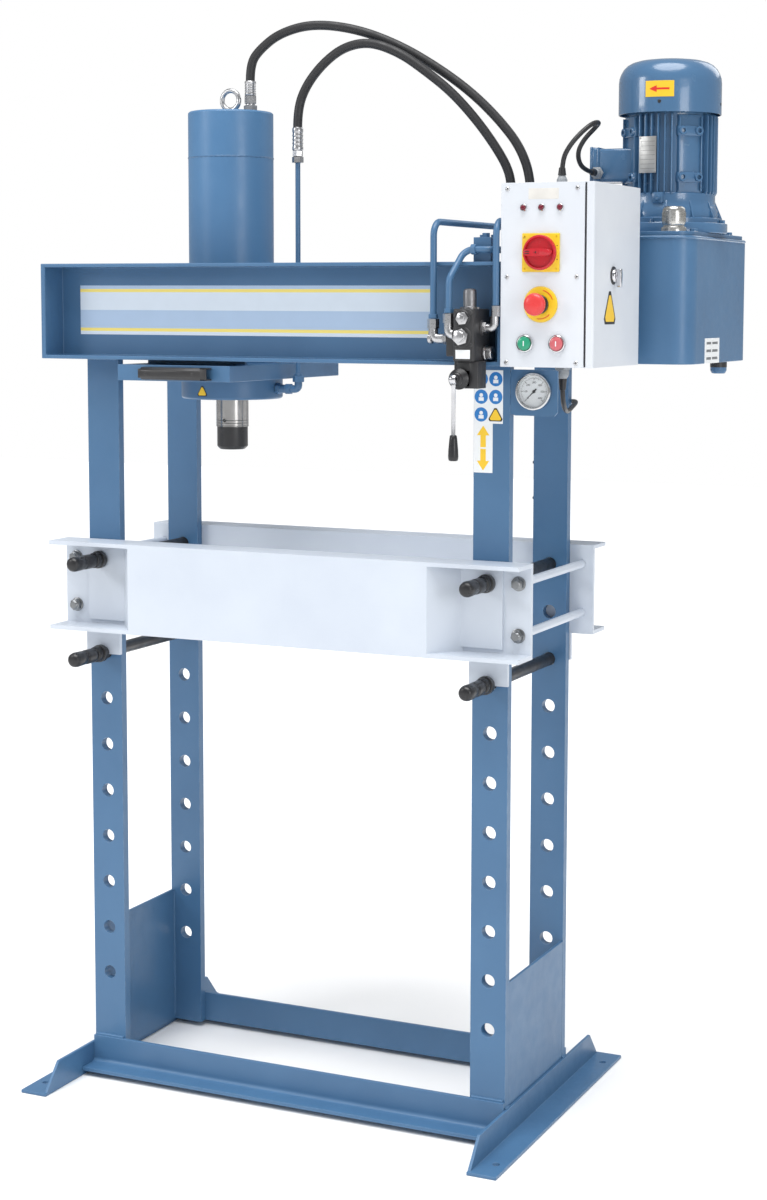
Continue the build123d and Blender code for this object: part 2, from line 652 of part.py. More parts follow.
# ---------------------------------------------------------------- control box
with BuildPart() as shell:
    block(BOX_X, BOX_Y, BOX_Z)
    block(
        (BOX_X[0] + SHEET, BOX_X[1] + 1), (BOX_Y[0] - 1, BOX_Y[1] - SHEET),
        (BOX_Z[0] + SHEET, BOX_Z[1] - SHEET), mode=Mode.SUBTRACT,
    )
with BuildPart() as panel:
    block((BOX_X[0], BOX_X[1] - 2), (PANEL_Y, BOX_Y[0]), BOX_Z)
    rod_y(SWITCH[0], SWITCH[1], 6, (PANEL_Y - 1, BOX_Y[0] + 1), mode=Mode.SUBTRACT)
    rod_y(ESTOP[0], ESTOP[1], 11, (PANEL_Y - 1, BOX_Y[0] + 1), mode=Mode.SUBTRACT)
    for x, z in (START, STOP):
        rod_y(x, z, 11, (PANEL_Y - 1, BOX_Y[0] + 1), mode=Mode.SUBTRACT)
finish(Compound(children=[shell.part, panel.part]), "enclosure")

with BuildPart() as door:
    block(DOOR_X, DOOR_Y, BOX_Z)
    fillet(door.faces().sort_by(Axis.X)[-1].edges().filter_by(Axis.Z).sort_by(Axis.Y)[0], 4)
    block(
        (DOOR_X[0] - 1, DOOR_X[1] - SHEET), (DOOR_Y[0] + SHEET, DOOR_Y[1] - SHEET),
        (BOX_Z[0] + SHEET, BOX_Z[1] - SHEET), mode=Mode.SUBTRACT,
    )
    rod_x(LOCK_Y, LOCK_Z, LOCK_R + 0.5, (DOOR_X[0], DOOR_X[1] + 1), mode=Mode.SUBTRACT)
    for z in HINGE_ZS:
        rod_z(HINGE_X, HINGE_Y, 4, (z + 0.3, z + 20))
        block((HINGE_X, HINGE_X + 8), (DOOR_Y[1], HINGE_Y - 1), (z + 0.3, z + 20))
finish(door.part, "enclosure_door")

with BuildPart() as lock:
    rod_x(LOCK_Y, LOCK_Z, LOCK_R, (DOOR_X[0] + 2, DOOR_X[1] + 7))
    block((DOOR_X[1] + 7, DOOR_X[1] + 16), (LOCK_Y - 5, LOCK_Y + 5), (LOCK_Z - 21, LOCK_Z + 12))
    block((DOOR_X[0] + 2, DOOR_X[0] + 5), (LOCK_Y - 6, LOCK_Y + 6), (LOCK_Z - 24, LOCK_Z + 6))
finish(lock.part, "door_lock")

with BuildPart() as devices:
    block((SWITCH[0] - 35.5, SWITCH[0] + 35.5), (PANEL_Y - 4, PANEL_Y), (SWITCH[1] - 34, SWITCH[1] + 34))
    rod_y(SWITCH[0], SWITCH[1], 6.4, (PANEL_Y - 5, PANEL_Y), mode=Mode.SUBTRACT)
    turned_y(*ESTOP, [(11.4, PANEL_Y), (32, PANEL_Y), (32, PANEL_Y - 4), (11.4, PANEL_Y - 6)])
    for x, z in (START, STOP):
        turned_y(
            x, z, [(12.4, PANEL_Y), (16, PANEL_Y), (16, PANEL_Y - 4), (15, PANEL_Y - 6), (12.4, PANEL_Y - 6)]
        )
    for x in LAMP_XS:
        rod_y(x, LAMP_Z, 6.5, (PANEL_Y - 7, PANEL_Y))
    for x in (BOX_X[0] + 12, BOX_X[1] - 16):
        for z in (BOX_Z[0] + 8, (BOX_Z[0] + BOX_Z[1]) / 2 - 3, BOX_Z[1] - 11):
            rod_y(x, z, 4, (PANEL_Y - 2, PANEL_Y))
    # contactors on the rear wall, contact blocks stay clear of the moving plungers
    for x in (500, 556):
        block((x, x + 45), (BOX_Y[1] - SHEET - 60, BOX_Y[1] - SHEET), (1580, 1660))
    # the fixed halves of the door hinges
    for z in HINGE_ZS:
        rod_z(HINGE_X, HINGE_Y, 4, (z - 20, z))
        block((BOX_X[1] - 12, HINGE_X - 1), (BOX_Y[1], HINGE_Y - 2), (z - 20, z))
finish(devices.part, "panel_fittings")

with BuildPart() as knob:
    rod_y(*SWITCH, 5.8, (PANEL_Y - 5, PANEL_Y + 12))
    turned_y(
        *SWITCH,
        [(0, PANEL_Y - 5), (31, PANEL_Y - 5), (31, PANEL_Y - 9), (27, PANEL_Y - 14), (0, PANEL_Y - 14)],
    )
    block((SWITCH[0] - 26, SWITCH[0] + 26), (PANEL_Y - 30, PANEL_Y - 14), (SWITCH[1] - 7, SWITCH[1] + 7))
finish(knob.part, "switch_knob")

with BuildPart() as estop:
    rod_y(*ESTOP, 10, (PANEL_Y - 24, PANEL_Y + 14))
    turned_y(
        *ESTOP,
        [(0, PANEL_Y - 24), (17, PANEL_Y - 24), (20, PANEL_Y - 28), (20, PANEL_Y - 33),
         (16, PANEL_Y - 38), (0, PANEL_Y - 40)],
    )
finish(estop.part, "estop_button")

for name, (x, z) in (("start_button", START), ("stop_button", STOP)):
    with BuildPart() as button:
        rod_y(x, z, 12, (PANEL_Y - 9, PANEL_Y - 4.5))
        rod_y(x, z, 8, (PANEL_Y - 4.5, PANEL_Y + 10))
    finish(button.part, name)


# ---------------------------------------------------------------- power unit
with BuildPart() as tank:
    block(TANK_X, TANK_Y, TANK_Z)
    fillet(tank.edges().filter_by(Axis.Z), TANK_CORNER)
    block((BEAM_RIGHT, TANK_X[0]), (FRAME_HALF, FRAME_HALF + BEAM_DEPTH), (1480, 1640))
    with BuildPart(mode=Mode.SUBTRACT) as hollow:
        inner = [(low + TANK_WALL, high - TANK_WALL) for low, high in (TANK_X, TANK_Y)]
        block(*inner, (TANK_Z[0] + TANK_WALL, TANK_Z[1] + 1))
        fillet(hollow.edges().filter_by(Axis.Z), TANK_CORNER - TANK_WALL)
    turned(
        *DRAIN_PLUG,
        [(0, 1440), (13, 1440), (16, 1446), (16, TANK_Z[0] + TANK_WALL), (0, TANK_Z[0] + TANK_WALL)],
    )
finish(tank.part, "oil_tank")

with BuildPart() as lid:
    block(
        (TANK_X[0] + 6, TANK_X[1] - 6), (TANK_Y[0] + 6, TANK_Y[1] - 6), (TANK_Z[1], LID_TOP)
    )
    fillet(lid.edges().filter_by(Axis.Z), TANK_CORNER - 6)
    rod_z(MOTOR_X, MOTOR_Y, 30, (TANK_Z[1] - 1, LID_TOP + 1), mode=Mode.SUBTRACT)
    for x in (TANK_X[0] + 16, TANK_X[1] - 16):
        for y in LID_NUT_YS:
            nut_z(x, y, 13, (LID_TOP, LID_TOP + 6))
finish(lid.part, "tank_lid")

with BuildPart() as breather:
    turned(
        *BREATHER,
        [(0, LID_TOP + 0.3), (24, LID_TOP + 0.3), (24, LID_TOP + 8), (20, LID_TOP + 11),
         (22, LID_TOP + 16), (22, LID_TOP + 40), (17, LID_TOP + 47), (0, LID_TOP + 47)],
    )
finish(breather.part, "breather_cap")

FIN_COUNT = 30
FIN_THICK = 3.0
TERMINAL_X = (488.0, 575.0)
TERMINAL_Y = (160.0, 240.0)
TERMINAL_Z = (1806.0, 1878.0)

with BuildPart() as housing:
    rod_z(MOTOR_X, MOTOR_Y, CORE_R, (MOTOR_BASE, MOTOR_HEAD))
    for step in range(FIN_COUNT):
        angle = 360 / FIN_COUNT * (step + 0.5)
        if 160 < angle < 236:
            continue
        turn = Location((MOTOR_X, MOTOR_Y, (MOTOR_BASE + MOTOR_HEAD) / 2), (0, 0, angle))
        with Locations(turn):
            with Locations(((CORE_R + FIN_R) / 2 - 1, 0, 0)):
                Box(FIN_R - CORE_R + 2, FIN_THICK, MOTOR_HEAD - MOTOR_BASE - 24)
    for low, radius in ((LID_TOP, 114.0), (1722, 104.0), (1740, 96.0)):
        rod_z(MOTOR_X, MOTOR_Y, radius, (low, low + 18))
    turned(
        MOTOR_X, MOTOR_Y,
        [(0, 1758), (92, 1758), (CORE_R + 8, MOTOR_BASE), (CORE_R + 8, MOTOR_BASE + 10), (0, MOTOR_BASE + 10)],
    )
    rod_z(MOTOR_X, MOTOR_Y, 68, (MOTOR_BASE + 20, MOTOR_HEAD - 18), mode=Mode.SUBTRACT)
    rod_z(MOTOR_X, MOTOR_Y, 26 + FIT, (MOTOR_BASE + 6, MOTOR_HEAD + 1), mode=Mode.SUBTRACT)
    rod_z(MOTOR_X, MOTOR_Y, 30, (LID_TOP - 1, MOTOR_BASE + 6), mode=Mode.SUBTRACT)
with BuildPart() as stator:
    rod_z(MOTOR_X, MOTOR_Y, 68, (1812, 1904))
    rod_z(MOTOR_X, MOTOR_Y, 48.5, (1811, 1905), mode=Mode.SUBTRACT)
with BuildPart() as terminal_box:
    block(TERMINAL_X, TERMINAL_Y, TERMINAL_Z)
    fillet(terminal_box.edges().filter_by(Axis.Z).sort_by(Axis.X)[:2], 6)
    rod_z(MOTOR_X, MOTOR_Y, CORE_R, (TERMINAL_Z[0] - 1, TERMINAL_Z[1] + 1), mode=Mode.SUBTRACT)
motor_pieces = [housing.part, stator.part, terminal_box.part]
finish(Compound(children=motor_pieces), "motor_housing")

with BuildPart() as cowl:
    turned(
        MOTOR_X, MOTOR_Y,
        [(FIN_R + 0.5, 1938), (COWL_R, 1938), (COWL_R, 1998), (COWL_R - 4, 2016), (COWL_R - 15, 2031),
         (COWL_R - 33, 2039.5), (COWL_R - 50, COWL_TOP), (0, COWL_TOP), (0, COWL_TOP - 2),
         (COWL_R - 51, COWL_TOP - 2), (COWL_R - 34, 2037.5), (COWL_R - 17, 2029), (COWL_R - 6, 2015),
         (COWL_R - 2, 1997), (COWL_R - 2, MOTOR_HEAD), (FIN_R + 0.5, MOTOR_HEAD)],
    )
    for ring, count in ((17, 8), (30, 14), (43, 20)):
        for step in range(count):
            angle = 2 * pi * step / count
            x = MOTOR_X + ring * cos(angle)
            y = MOTOR_Y + ring * sin(angle)
            rod_z(x, y, 4, (COWL_TOP - 12, COWL_TOP + 1), mode=Mode.SUBTRACT)
    rod_z(MOTOR_X, MOTOR_Y, COWL_R - 1, (MOTOR_HEAD, MOTOR_HEAD + 2))
    rod_z(MOTOR_X, MOTOR_Y, 30, (MOTOR_HEAD - 1, MOTOR_HEAD + 3), mode=Mode.SUBTRACT)
finish(cowl.part, "fan_cowl")

with BuildPart() as rotor:
    rod_z(MOTOR_X, MOTOR_Y, PUMP_SHAFT_R, (1603, 1770))
    rod_z(MOTOR_X, MOTOR_Y, SHAFT_R, (1740, 1990))
    rod_z(MOTOR_X, MOTOR_Y, 48, (1814, 1902))
    for low in (1783, 1924):
        rod_z(MOTOR_X, MOTOR_Y, 26, (low, low + 13))
    rod_z(MOTOR_X, MOTOR_Y, 70, (1962, 1965))
    rod_z(MOTOR_X, MOTOR_Y, 20, (1962, 1990))
    for step in range(9):
        with Locations(Location((MOTOR_X, MOTOR_Y, 1976), (0, 0, 40 * step))):
            with Locations((44, 0, 0)):
                Box(50, 2.5, 24)
finish(rotor.part, "motor_rotor")


# ---------------------------------------------------------------- gear pump
GEAR_ROOT_R = 14.2
GEAR_TIP_R = 20.4
TOOTH_ROOT = 7.0                    # half-widths of a tooth, in degrees
TOOTH_TIP = 2.8


def gear(x, y, phase):
    """A spur gear with slim straight-sided teeth."""
    outline = []
    for tooth in range(GEAR_TEETH):
        middle = phase + 360 / GEAR_TEETH * tooth
        for offset, radius in (
            (-TOOTH_ROOT, GEAR_ROOT_R), (-TOOTH_TIP, GEAR_TIP_R),
            (TOOTH_TIP, GEAR_TIP_R), (TOOTH_ROOT, GEAR_ROOT_R),
        ):
            angle = radians(middle + offset)
            outline.append((x + radius * cos(angle), y + radius * sin(angle)))
    with BuildSketch(Plane.XY.offset(GEAR_Z[0])) as section:
        with BuildLine():
            Polyline(*outline, close=True)
        make_face()
    extrude(section.sketch, amount=GEAR_Z[1] - GEAR_Z[0])


with BuildPart() as pump:
    pump_x = (MOTOR_X - 32, MOTOR_X + GEAR_GAP + 32)
    block(pump_x, (MOTOR_Y - 32, MOTOR_Y + 32), PUMP_Z)
    rod_z(MOTOR_X, MOTOR_Y, 36, (PUMP_Z[1], LID_TOP))
    block(
        (MOTOR_X - 40, MOTOR_X + 40), (MOTOR_Y - 40, MOTOR_Y + 40), (TANK_Z[1], LID_TOP + 1),
        mode=Mode.SUBTRACT,
    )
    for x in (MOTOR_X, MOTOR_X + GEAR_GAP):
        rod_z(x, MOTOR_Y, GEAR_TIP_R + 0.4, (GEAR_Z[0] - 1, GEAR_Z[1] + 1), mode=Mode.SUBTRACT)
    rod_z(MOTOR_X, MOTOR_Y, PUMP_SHAFT_R + FIT, (1602, 1670), mode=Mode.SUBTRACT)
    rod_z(MOTOR_X, MOTOR_Y, 20, (1664, LID_TOP), mode=Mode.SUBTRACT)
    rod_z(MOTOR_X + GEAR_GAP, MOTOR_Y, 6 + FIT, (1604, 1650), mode=Mode.SUBTRACT)
finish(pump.part, "gear_pump")

with BuildPart() as drive_gear:
    gear(MOTOR_X, MOTOR_Y, 0)
    rod_z(MOTOR_X, MOTOR_Y, PUMP_SHAFT_R, (GEAR_Z[0] - 1, GEAR_Z[1] + 1), mode=Mode.SUBTRACT)
finish(drive_gear.part, "drive_gear")

with BuildPart() as driven_gear:
    gear(MOTOR_X + GEAR_GAP, MOTOR_Y, 180 / GEAR_TEETH)
    rod_z(MOTOR_X + GEAR_GAP, MOTOR_Y, 6, (1605, 1648))
finish(driven_gear.part, "driven_gear")


# ---------------------------------------------------------------- cables
with BuildPart() as glands:
    nut_z(*TOP_GLAND, 22, (BOX_Z[1], BOX_Z[1] + 10))
    rod_z(*TOP_GLAND, 9, (BOX_Z[1] + 10, MOTOR_CABLE_ROUTE[0][2]))
    nut_z(*LOW_GLAND, 26, (BOX_Z[0] - 12, BOX_Z[0]))
    rod_z(*LOW_GLAND, 11, (MAINS_ROUTE[0][2], BOX_Z[0] - 12))
    nut_y(505, 1827, 22, (TERMINAL_Y[0] - 10, TERMINAL_Y[0]))
    rod_y(505, 1827, 9, (MOTOR_CABLE_ROUTE[-1][1], TERMINAL_Y[0] - 10))
    # the hook that the mains lead hangs on
    block((395, 417), (FRAME_HALF, FRAME_HALF + 3), (1282, 1330))
    block((401, 411), (FRAME_HALF + 3, 203), (1282, 1287))
    block((401, 411), (200, 203), (1287, 1302))
finish(glands.part, "cable_glands")

cord("motor_cable", MOTOR_CABLE_ROUTE, MOTOR_CABLE_R)
cord("mains_cable", MAINS_ROUTE, MAINS_R)

with BuildPart() as hank:
    block(HANK_X, HANK_Y, HANK_Z)
    fillet(hank.edges().filter_by(Axis.Y), 32)
    with BuildSketch(Plane.XZ.offset(-HANK_Y[0] + 1)) as slot:
        with Locations(((HANK_X[0] + HANK_X[1]) / 2, (HANK_Z[0] + HANK_Z[1]) / 2)):
            SlotOverall(
                HANK_Z[1] - HANK_Z[0] - 2 * HANK_SIDE, HANK_X[1] - HANK_X[0] - 2 * HANK_SIDE,
                rotation=90,
            )
    extrude(slot.sketch, amount=-(HANK_Y[1] - HANK_Y[0] + 2), mode=Mode.SUBTRACT)
finish(hank.part, "mains_coil")

with BuildPart() as plug:
    turned(
        PLUG_X, PLUG_Y,
        [(0, PLUG_Z[0]), (PLUG_R, PLUG_Z[0]), (PLUG_R, PLUG_Z[0] + 34), (18, PLUG_Z[0] + 40),
         (17, PLUG_Z[1] - 22), (9, PLUG_Z[1]), (0, PLUG_Z[1])],
    )
finish(plug.part, "mains_plug")
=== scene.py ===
import math

import bmesh
import bpy
from mathutils import Matrix, Vector


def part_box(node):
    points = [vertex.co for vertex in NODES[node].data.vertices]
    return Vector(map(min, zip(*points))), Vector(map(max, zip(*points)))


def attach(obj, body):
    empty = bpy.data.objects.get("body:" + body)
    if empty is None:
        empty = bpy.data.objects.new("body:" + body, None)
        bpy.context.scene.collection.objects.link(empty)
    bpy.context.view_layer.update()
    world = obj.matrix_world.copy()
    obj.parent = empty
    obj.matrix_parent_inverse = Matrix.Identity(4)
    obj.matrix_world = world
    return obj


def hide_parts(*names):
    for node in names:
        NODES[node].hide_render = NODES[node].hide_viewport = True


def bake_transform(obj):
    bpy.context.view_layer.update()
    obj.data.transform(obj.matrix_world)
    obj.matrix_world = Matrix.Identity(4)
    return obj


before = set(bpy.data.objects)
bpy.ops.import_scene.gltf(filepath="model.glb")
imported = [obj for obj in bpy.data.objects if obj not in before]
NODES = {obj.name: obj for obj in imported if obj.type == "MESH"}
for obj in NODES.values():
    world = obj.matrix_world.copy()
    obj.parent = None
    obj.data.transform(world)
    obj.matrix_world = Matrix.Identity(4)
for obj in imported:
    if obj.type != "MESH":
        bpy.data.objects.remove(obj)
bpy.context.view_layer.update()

# Hydraulic shop press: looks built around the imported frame. Metres, +X right, +Y to the rear, +Z up.
X = Vector((1, 0, 0))
Y = Vector((0, 1, 0))
Z = Vector((0, 0, 1))

# ---------------------------------------------------------------- camera
CAMERA_AT = Vector((1.9109, -3.7555, 1.5751))
CAMERA_YAW = math.radians(24.17)
CAMERA_PITCH = math.radians(5.889)
CAMERA_ROLL = math.radians(0.217)
CAMERA_LENS = 63.57
CAMERA_SENSOR = 36
CAMERA_SHIFT = (-0.0393, -0.065)


def link(made):
    bpy.context.scene.collection.objects.link(made)
    return made


def make_camera():
    ahead = Vector((
        -math.sin(CAMERA_YAW) * math.cos(CAMERA_PITCH),
        math.cos(CAMERA_YAW) * math.cos(CAMERA_PITCH),
        -math.sin(CAMERA_PITCH),
    ))
    level = Vector((math.cos(CAMERA_YAW), math.sin(CAMERA_YAW), 0))
    upright = level.cross(ahead)
    right = level * math.cos(CAMERA_ROLL) + upright * math.sin(CAMERA_ROLL)
    up = upright * math.cos(CAMERA_ROLL) - level * math.sin(CAMERA_ROLL)
    data = bpy.data.cameras.new("camera")
    data.lens = CAMERA_LENS
    data.sensor_width = CAMERA_SENSOR
    data.shift_x, data.shift_y = CAMERA_SHIFT
    data.clip_end = 60
    camera = link(bpy.data.objects.new("camera", data))
    camera.matrix_world = Matrix.Translation(CAMERA_AT) @ Matrix((right, up, -ahead)).transposed().to_4x4()
    bpy.context.scene.camera = camera


make_camera()


# ---------------------------------------------------------------- materials
WEAR_REACH = 0.0015
WEAR_AMOUNT = 0.6


def add_node(material, kind, settings=None, **inputs):
    made = material.node_tree.nodes.new(kind)
    for key, value in (settings or {}).items():
        setattr(made, key, value)
    for key, value in inputs.items():
        made.inputs[key.replace("_", " ")].default_value = value
    return made


def wire(material, source, target):
    material.node_tree.links.new(source, target)


def shader_of(material):
    return material.node_tree.nodes["Principled BSDF"]


def base_material(name, colour, roughness, metallic=0.0, coat=0.0, **more):
    material = bpy.data.materials.new(name)
    material.use_nodes = True
    shader = shader_of(material)
    shader.inputs["Base Color"].default_value = (*colour, 1)
    shader.inputs["Roughness"].default_value = roughness
    shader.inputs["Metallic"].default_value = metallic
    shader.inputs["Coat Weight"].default_value = coat
    for key, value in more.items():
        shader.inputs[key.replace("_", " ")].default_value = value
    return material


def noise(material, scale, detail=2.0, stretch=None):
    """Noise in the object's own metres; stretch squeezes it along the axes."""
    where = add_node(material, "ShaderNodeTexCoord").outputs["Object"]
    if stretch:
        mapping = add_node(material, "ShaderNodeMapping", Scale=stretch)
        wire(material, where, mapping.inputs["Vector"])
        where = mapping.outputs["Vector"]
    made = add_node(material, "ShaderNodeTexNoise", Scale=scale, Detail=detail)
    wire(material, where, made.inputs["Vector"])
    return made.outputs["Fac"]


def spread(material, source, low, high, start=0.3, end=0.7):
    made = add_node(material, "ShaderNodeMapRange")
    for key, value in (("From Min", start), ("From Max", end), ("To Min", low), ("To Max", high)):
        made.inputs[key].default_value = value
    wire(material, source, made.inputs["Value"])
    return made.outputs["Result"]


def mix_colours(material, factor, first, second):
    """first and second are colours or sockets."""
    made = add_node(material, "ShaderNodeMix", {"data_type": "RGBA"})
    if isinstance(factor, float):
        made.inputs["Factor"].default_value = factor
    else:
        wire(material, factor, made.inputs["Factor"])
    for key, value in ((6, first), (7, second)):
        if isinstance(value, (tuple, list)):
            made.inputs[key].default_value = (*value, 1)
        else:
            wire(material, value, made.inputs[key])
    return made.outputs[2]


def colour_variation(material, first, second, scale):
    factor = spread(material, noise(material, scale, 4.0), 0, 1)
    colour = mix_colours(material, factor, first, second)
    wire(material, colour, shader_of(material).inputs["Base Color"])
    return colour


def rough_variation(material, low, high, scale, stretch=None):
    factor = spread(material, noise(material, scale, 3.0, stretch), low, high)
    wire(material, factor, shader_of(material).inputs["Roughness"])


def bumps(material, layers):
    """layers: (scale, height in metres, strength, stretch)."""
    normal = None
    for scale, height, strength, stretch in layers:
        bump = add_node(material, "ShaderNodeBump", Strength=strength, Distance=height)
        wire(material, noise(material, scale, 2.0, stretch), bump.inputs["Height"])
        if normal:
            wire(material, normal, bump.inputs["Normal"])
        normal = bump.outputs["Normal"]
    wire(material, normal, shader_of(material).inputs["Normal"])


def edge_wear(material, colour_source, worn):
    """Lightens the paint where an edge is worn: where the bevelled normal leaves the true one."""
    bevel = add_node(material, "ShaderNodeBevel", {"samples": 4}, Radius=WEAR_REACH)
    true_normal = add_node(material, "ShaderNodeNewGeometry").outputs["Normal"]
    dot = add_node(material, "ShaderNodeVectorMath", {"operation": "DOT_PRODUCT"})
    wire(material, bevel.outputs["Normal"], dot.inputs[0])
    wire(material, true_normal, dot.inputs[1])
    near_edge = spread(material, dot.outputs["Value"], 1, 0, 0.75, 0.99)
    patchy = spread(material, noise(material, 60.0, 4.0), 0, WEAR_AMOUNT, 0.42, 0.62)
    both = add_node(material, "ShaderNodeMath", {"operation": "MULTIPLY"})
    wire(material, near_edge, both.inputs[0])
    wire(material, patchy, both.inputs[1])
    colour = mix_colours(material, both.outputs["Value"], colour_source, worn)
    wire(material, colour, shader_of(material).inputs["Base Color"])


def painted(name, light, dark, roughness=(0.3, 0.42), grain=0.00022, worn=None, coat=0.0):
    """Sprayed paint with a fine orange peel and a slow drift of shade."""
    material = base_material(name, light, roughness[0], coat=coat)
    colour = colour_variation(material, light, dark, 7.0)
    rough_variation(material, *roughness, 35.0)
    bumps(material, [(420.0, grain, 0.5, None), (90.0, grain * 2.4, 0.25, None)])
    if worn:
        edge_wear(material, colour, worn)
    return material


def metal(name, colour, roughness=(0.15, 0.3), stretch=None, scale=300.0, height=0.00004):
    material = base_material(name, colour, roughness[0], metallic=1.0)
    colour_variation(material, colour, tuple(c * 0.82 for c in colour), 40.0)
    rough_variation(material, *roughness, scale, stretch)
    bumps(material, [(scale * 2, height, 0.4, stretch)])
    return material


def plastic(name, colour, roughness=(0.25, 0.4), grain=0.00005, scale=900.0, drift=0.86):
    material = base_material(name, colour, roughness[0])
    colour_variation(material, colour, tuple(c * drift for c in colour), 30.0)
    rough_variation(material, *roughness, 60.0)
    bumps(material, [(scale, grain, 0.4, None)])
    return material


BLUE = (0.066, 0.16, 0.296)
BLUE_DARK = (0.056, 0.14, 0.266)
PALE = (0.61, 0.66, 0.73)
PALE_DARK = (0.56, 0.61, 0.69)
BLUE_PAINT = painted("blue paint", BLUE, BLUE_DARK, worn=(0.3, 0.42, 0.56))
# Lighter copy of the frame's blue paint for the cylinder: a painted highlight where the cylinder catches the
# light, not a different paint.
BLUE_CYLINDER_HIGHLIGHT = painted("blue cylinder paint with painted highlight", (0.086, 0.208, 0.384), (0.074, 0.186, 0.352),
                      worn=(0.3, 0.42, 0.56))
BLUE_MOTOR = painted("blue motor enamel", (0.066, 0.158, 0.29), BLUE_DARK, (0.18, 0.28), 0.0003, coat=0.45)
BED_PAINT = painted("pale grey bed paint", PALE, PALE_DARK, (0.3, 0.42), 0.00015, worn=(0.42, 0.43, 0.44))
BOX_PAINT = painted("powder coat", (0.68, 0.71, 0.75), (0.63, 0.66, 0.71), (0.34, 0.44), 0.0001)
BLACK_STEEL = painted("black oxide", (0.018, 0.018, 0.02), (0.032, 0.031, 0.032), (0.28, 0.5), 0.00012,
                      worn=(0.16, 0.16, 0.165))
VALVE_BLACK = painted("cast valve black", (0.02, 0.02, 0.022), (0.035, 0.035, 0.037), (0.35, 0.55), 0.0004,
                      worn=(0.2, 0.2, 0.2))
ZINC = metal("zinc plate", (0.56, 0.56, 0.57), (0.24, 0.38), height=0.00002)
DARK_ZINC = metal("dark zinc plate", (0.27, 0.28, 0.29), (0.26, 0.4), height=0.00002)
CHROME = metal("bright chrome", (0.66, 0.66, 0.68), (0.08, 0.16), height=0.00001)
RAM_CHROME = metal("hard chrome ram", (0.55, 0.54, 0.53), (0.14, 0.26), (1, 1, 14), 160.0)
GROUND_STEEL = metal("ground steel", (0.56, 0.56, 0.58), (0.25, 0.4), (1, 1, 10), 200.0)
CAST_ALUMINIUM = metal("cast aluminium", (0.62, 0.63, 0.64), (0.4, 0.6), None, 160.0, height=0.0003)
PLATE_METAL = metal("rating plate metal", (0.55, 0.55, 0.54), (0.3, 0.45), (12, 1, 1), 200.0)
RUBBER = plastic("hose rubber", (0.022, 0.022, 0.024), (0.42, 0.6), 0.0002, 500.0)
JACKET = plastic("cable jacket", (0.018, 0.018, 0.02), (0.35, 0.5))
PLUG_BLACK = plastic("plug plastic", (0.02, 0.02, 0.022), (0.3, 0.45), 0.0001, 600.0)
GRIP_BLACK = plastic("grip plastic", (0.016, 0.016, 0.018), (0.25, 0.42), 0.0001, 500.0)
NYLON = plastic("gland nylon", (0.34, 0.36, 0.38), (0.35, 0.5))
RED = plastic("switch red", (0.55, 0.018, 0.03), (0.18, 0.3))
CORAL = plastic("mushroom red", (0.72, 0.05, 0.05), (0.22, 0.34))
YELLOW = plastic("switch yellow", (0.86, 0.56, 0.02), (0.25, 0.38))
GREEN = plastic("push green", (0.03, 0.36, 0.2), (0.15, 0.28))
PINK = plastic("push red", (0.62, 0.14, 0.16), (0.15, 0.28))
LAMP_RED = plastic("lamp red", (0.16, 0.006, 0.022), (0.08, 0.16))
SEAL = plastic("door seal", (0.05, 0.05, 0.055), (0.5, 0.7))
WHITE_INK = plastic("sticker white", (0.82, 0.84, 0.85), (0.3, 0.4), 0.00002, drift=0.97)
BLUE_INK = plastic("sticker blue", (0.02, 0.19, 0.52), (0.3, 0.4), 0.00002, drift=0.97)
YELLOW_INK = plastic("sticker yellow", (0.88, 0.56, 0.03), (0.3, 0.4), 0.00002, drift=0.97)
LEMON_INK = plastic("sticker lemon", (0.9, 0.74, 0.2), (0.3, 0.4), 0.00002, drift=0.97)
BLACK_INK = plastic("sticker black", (0.02, 0.02, 0.02), (0.35, 0.5), 0.00002, drift=0.97)
RED_INK = plastic("sticker red", (0.7, 0.03, 0.02), (0.3, 0.4), 0.00002, drift=0.97)
BAND_LIGHT = plastic("banner light band", (0.68, 0.76, 0.85), (0.28, 0.38), 0.00003, drift=0.97)
BAND_MIDDLE = plastic("banner middle band", (0.42, 0.55, 0.73), (0.28, 0.38), 0.00003, drift=0.97)
GLASS = base_material("gauge glass", (0.96, 0.98, 1.0), 0.03, Transmission_Weight=1.0, IOR=1.45, Alpha=0.25)


# ---------------------------------------------------------------- mesh helpers
def across(axis):
    """Two directions at right angles to axis and to each other."""
    axis = Vector(axis).normalized()
    side = Y.cross(axis) if abs(axis.y) < 0.9 else X.copy()
    side.normalize()
    return side, axis.cross(side)


def in_plan(angle):
    """A level direction at an angle from +X, and the one a quarter turn on."""
    way = Vector((math.cos(angle), math.sin(angle), 0))
    return way, Vector((-way.y, way.x, 0))


def on_face(angle):
    """The same pair in the plane of the panel's face."""
    way = Vector((math.cos(angle), 0, math.sin(angle)))
    return way, Vector((-way.z, 0, way.x))


def turns(count, first=0.0):
    """Evenly spaced angles round a full turn."""
    return [2 * math.pi * (step + first) / count for step in range(count)]


def mm(*numbers):
    """An outline of (radius, distance along) from pairs in millimetres."""
    return [(radius / 1000, along / 1000) for radius, along in zip(numbers[::2], numbers[1::2])]


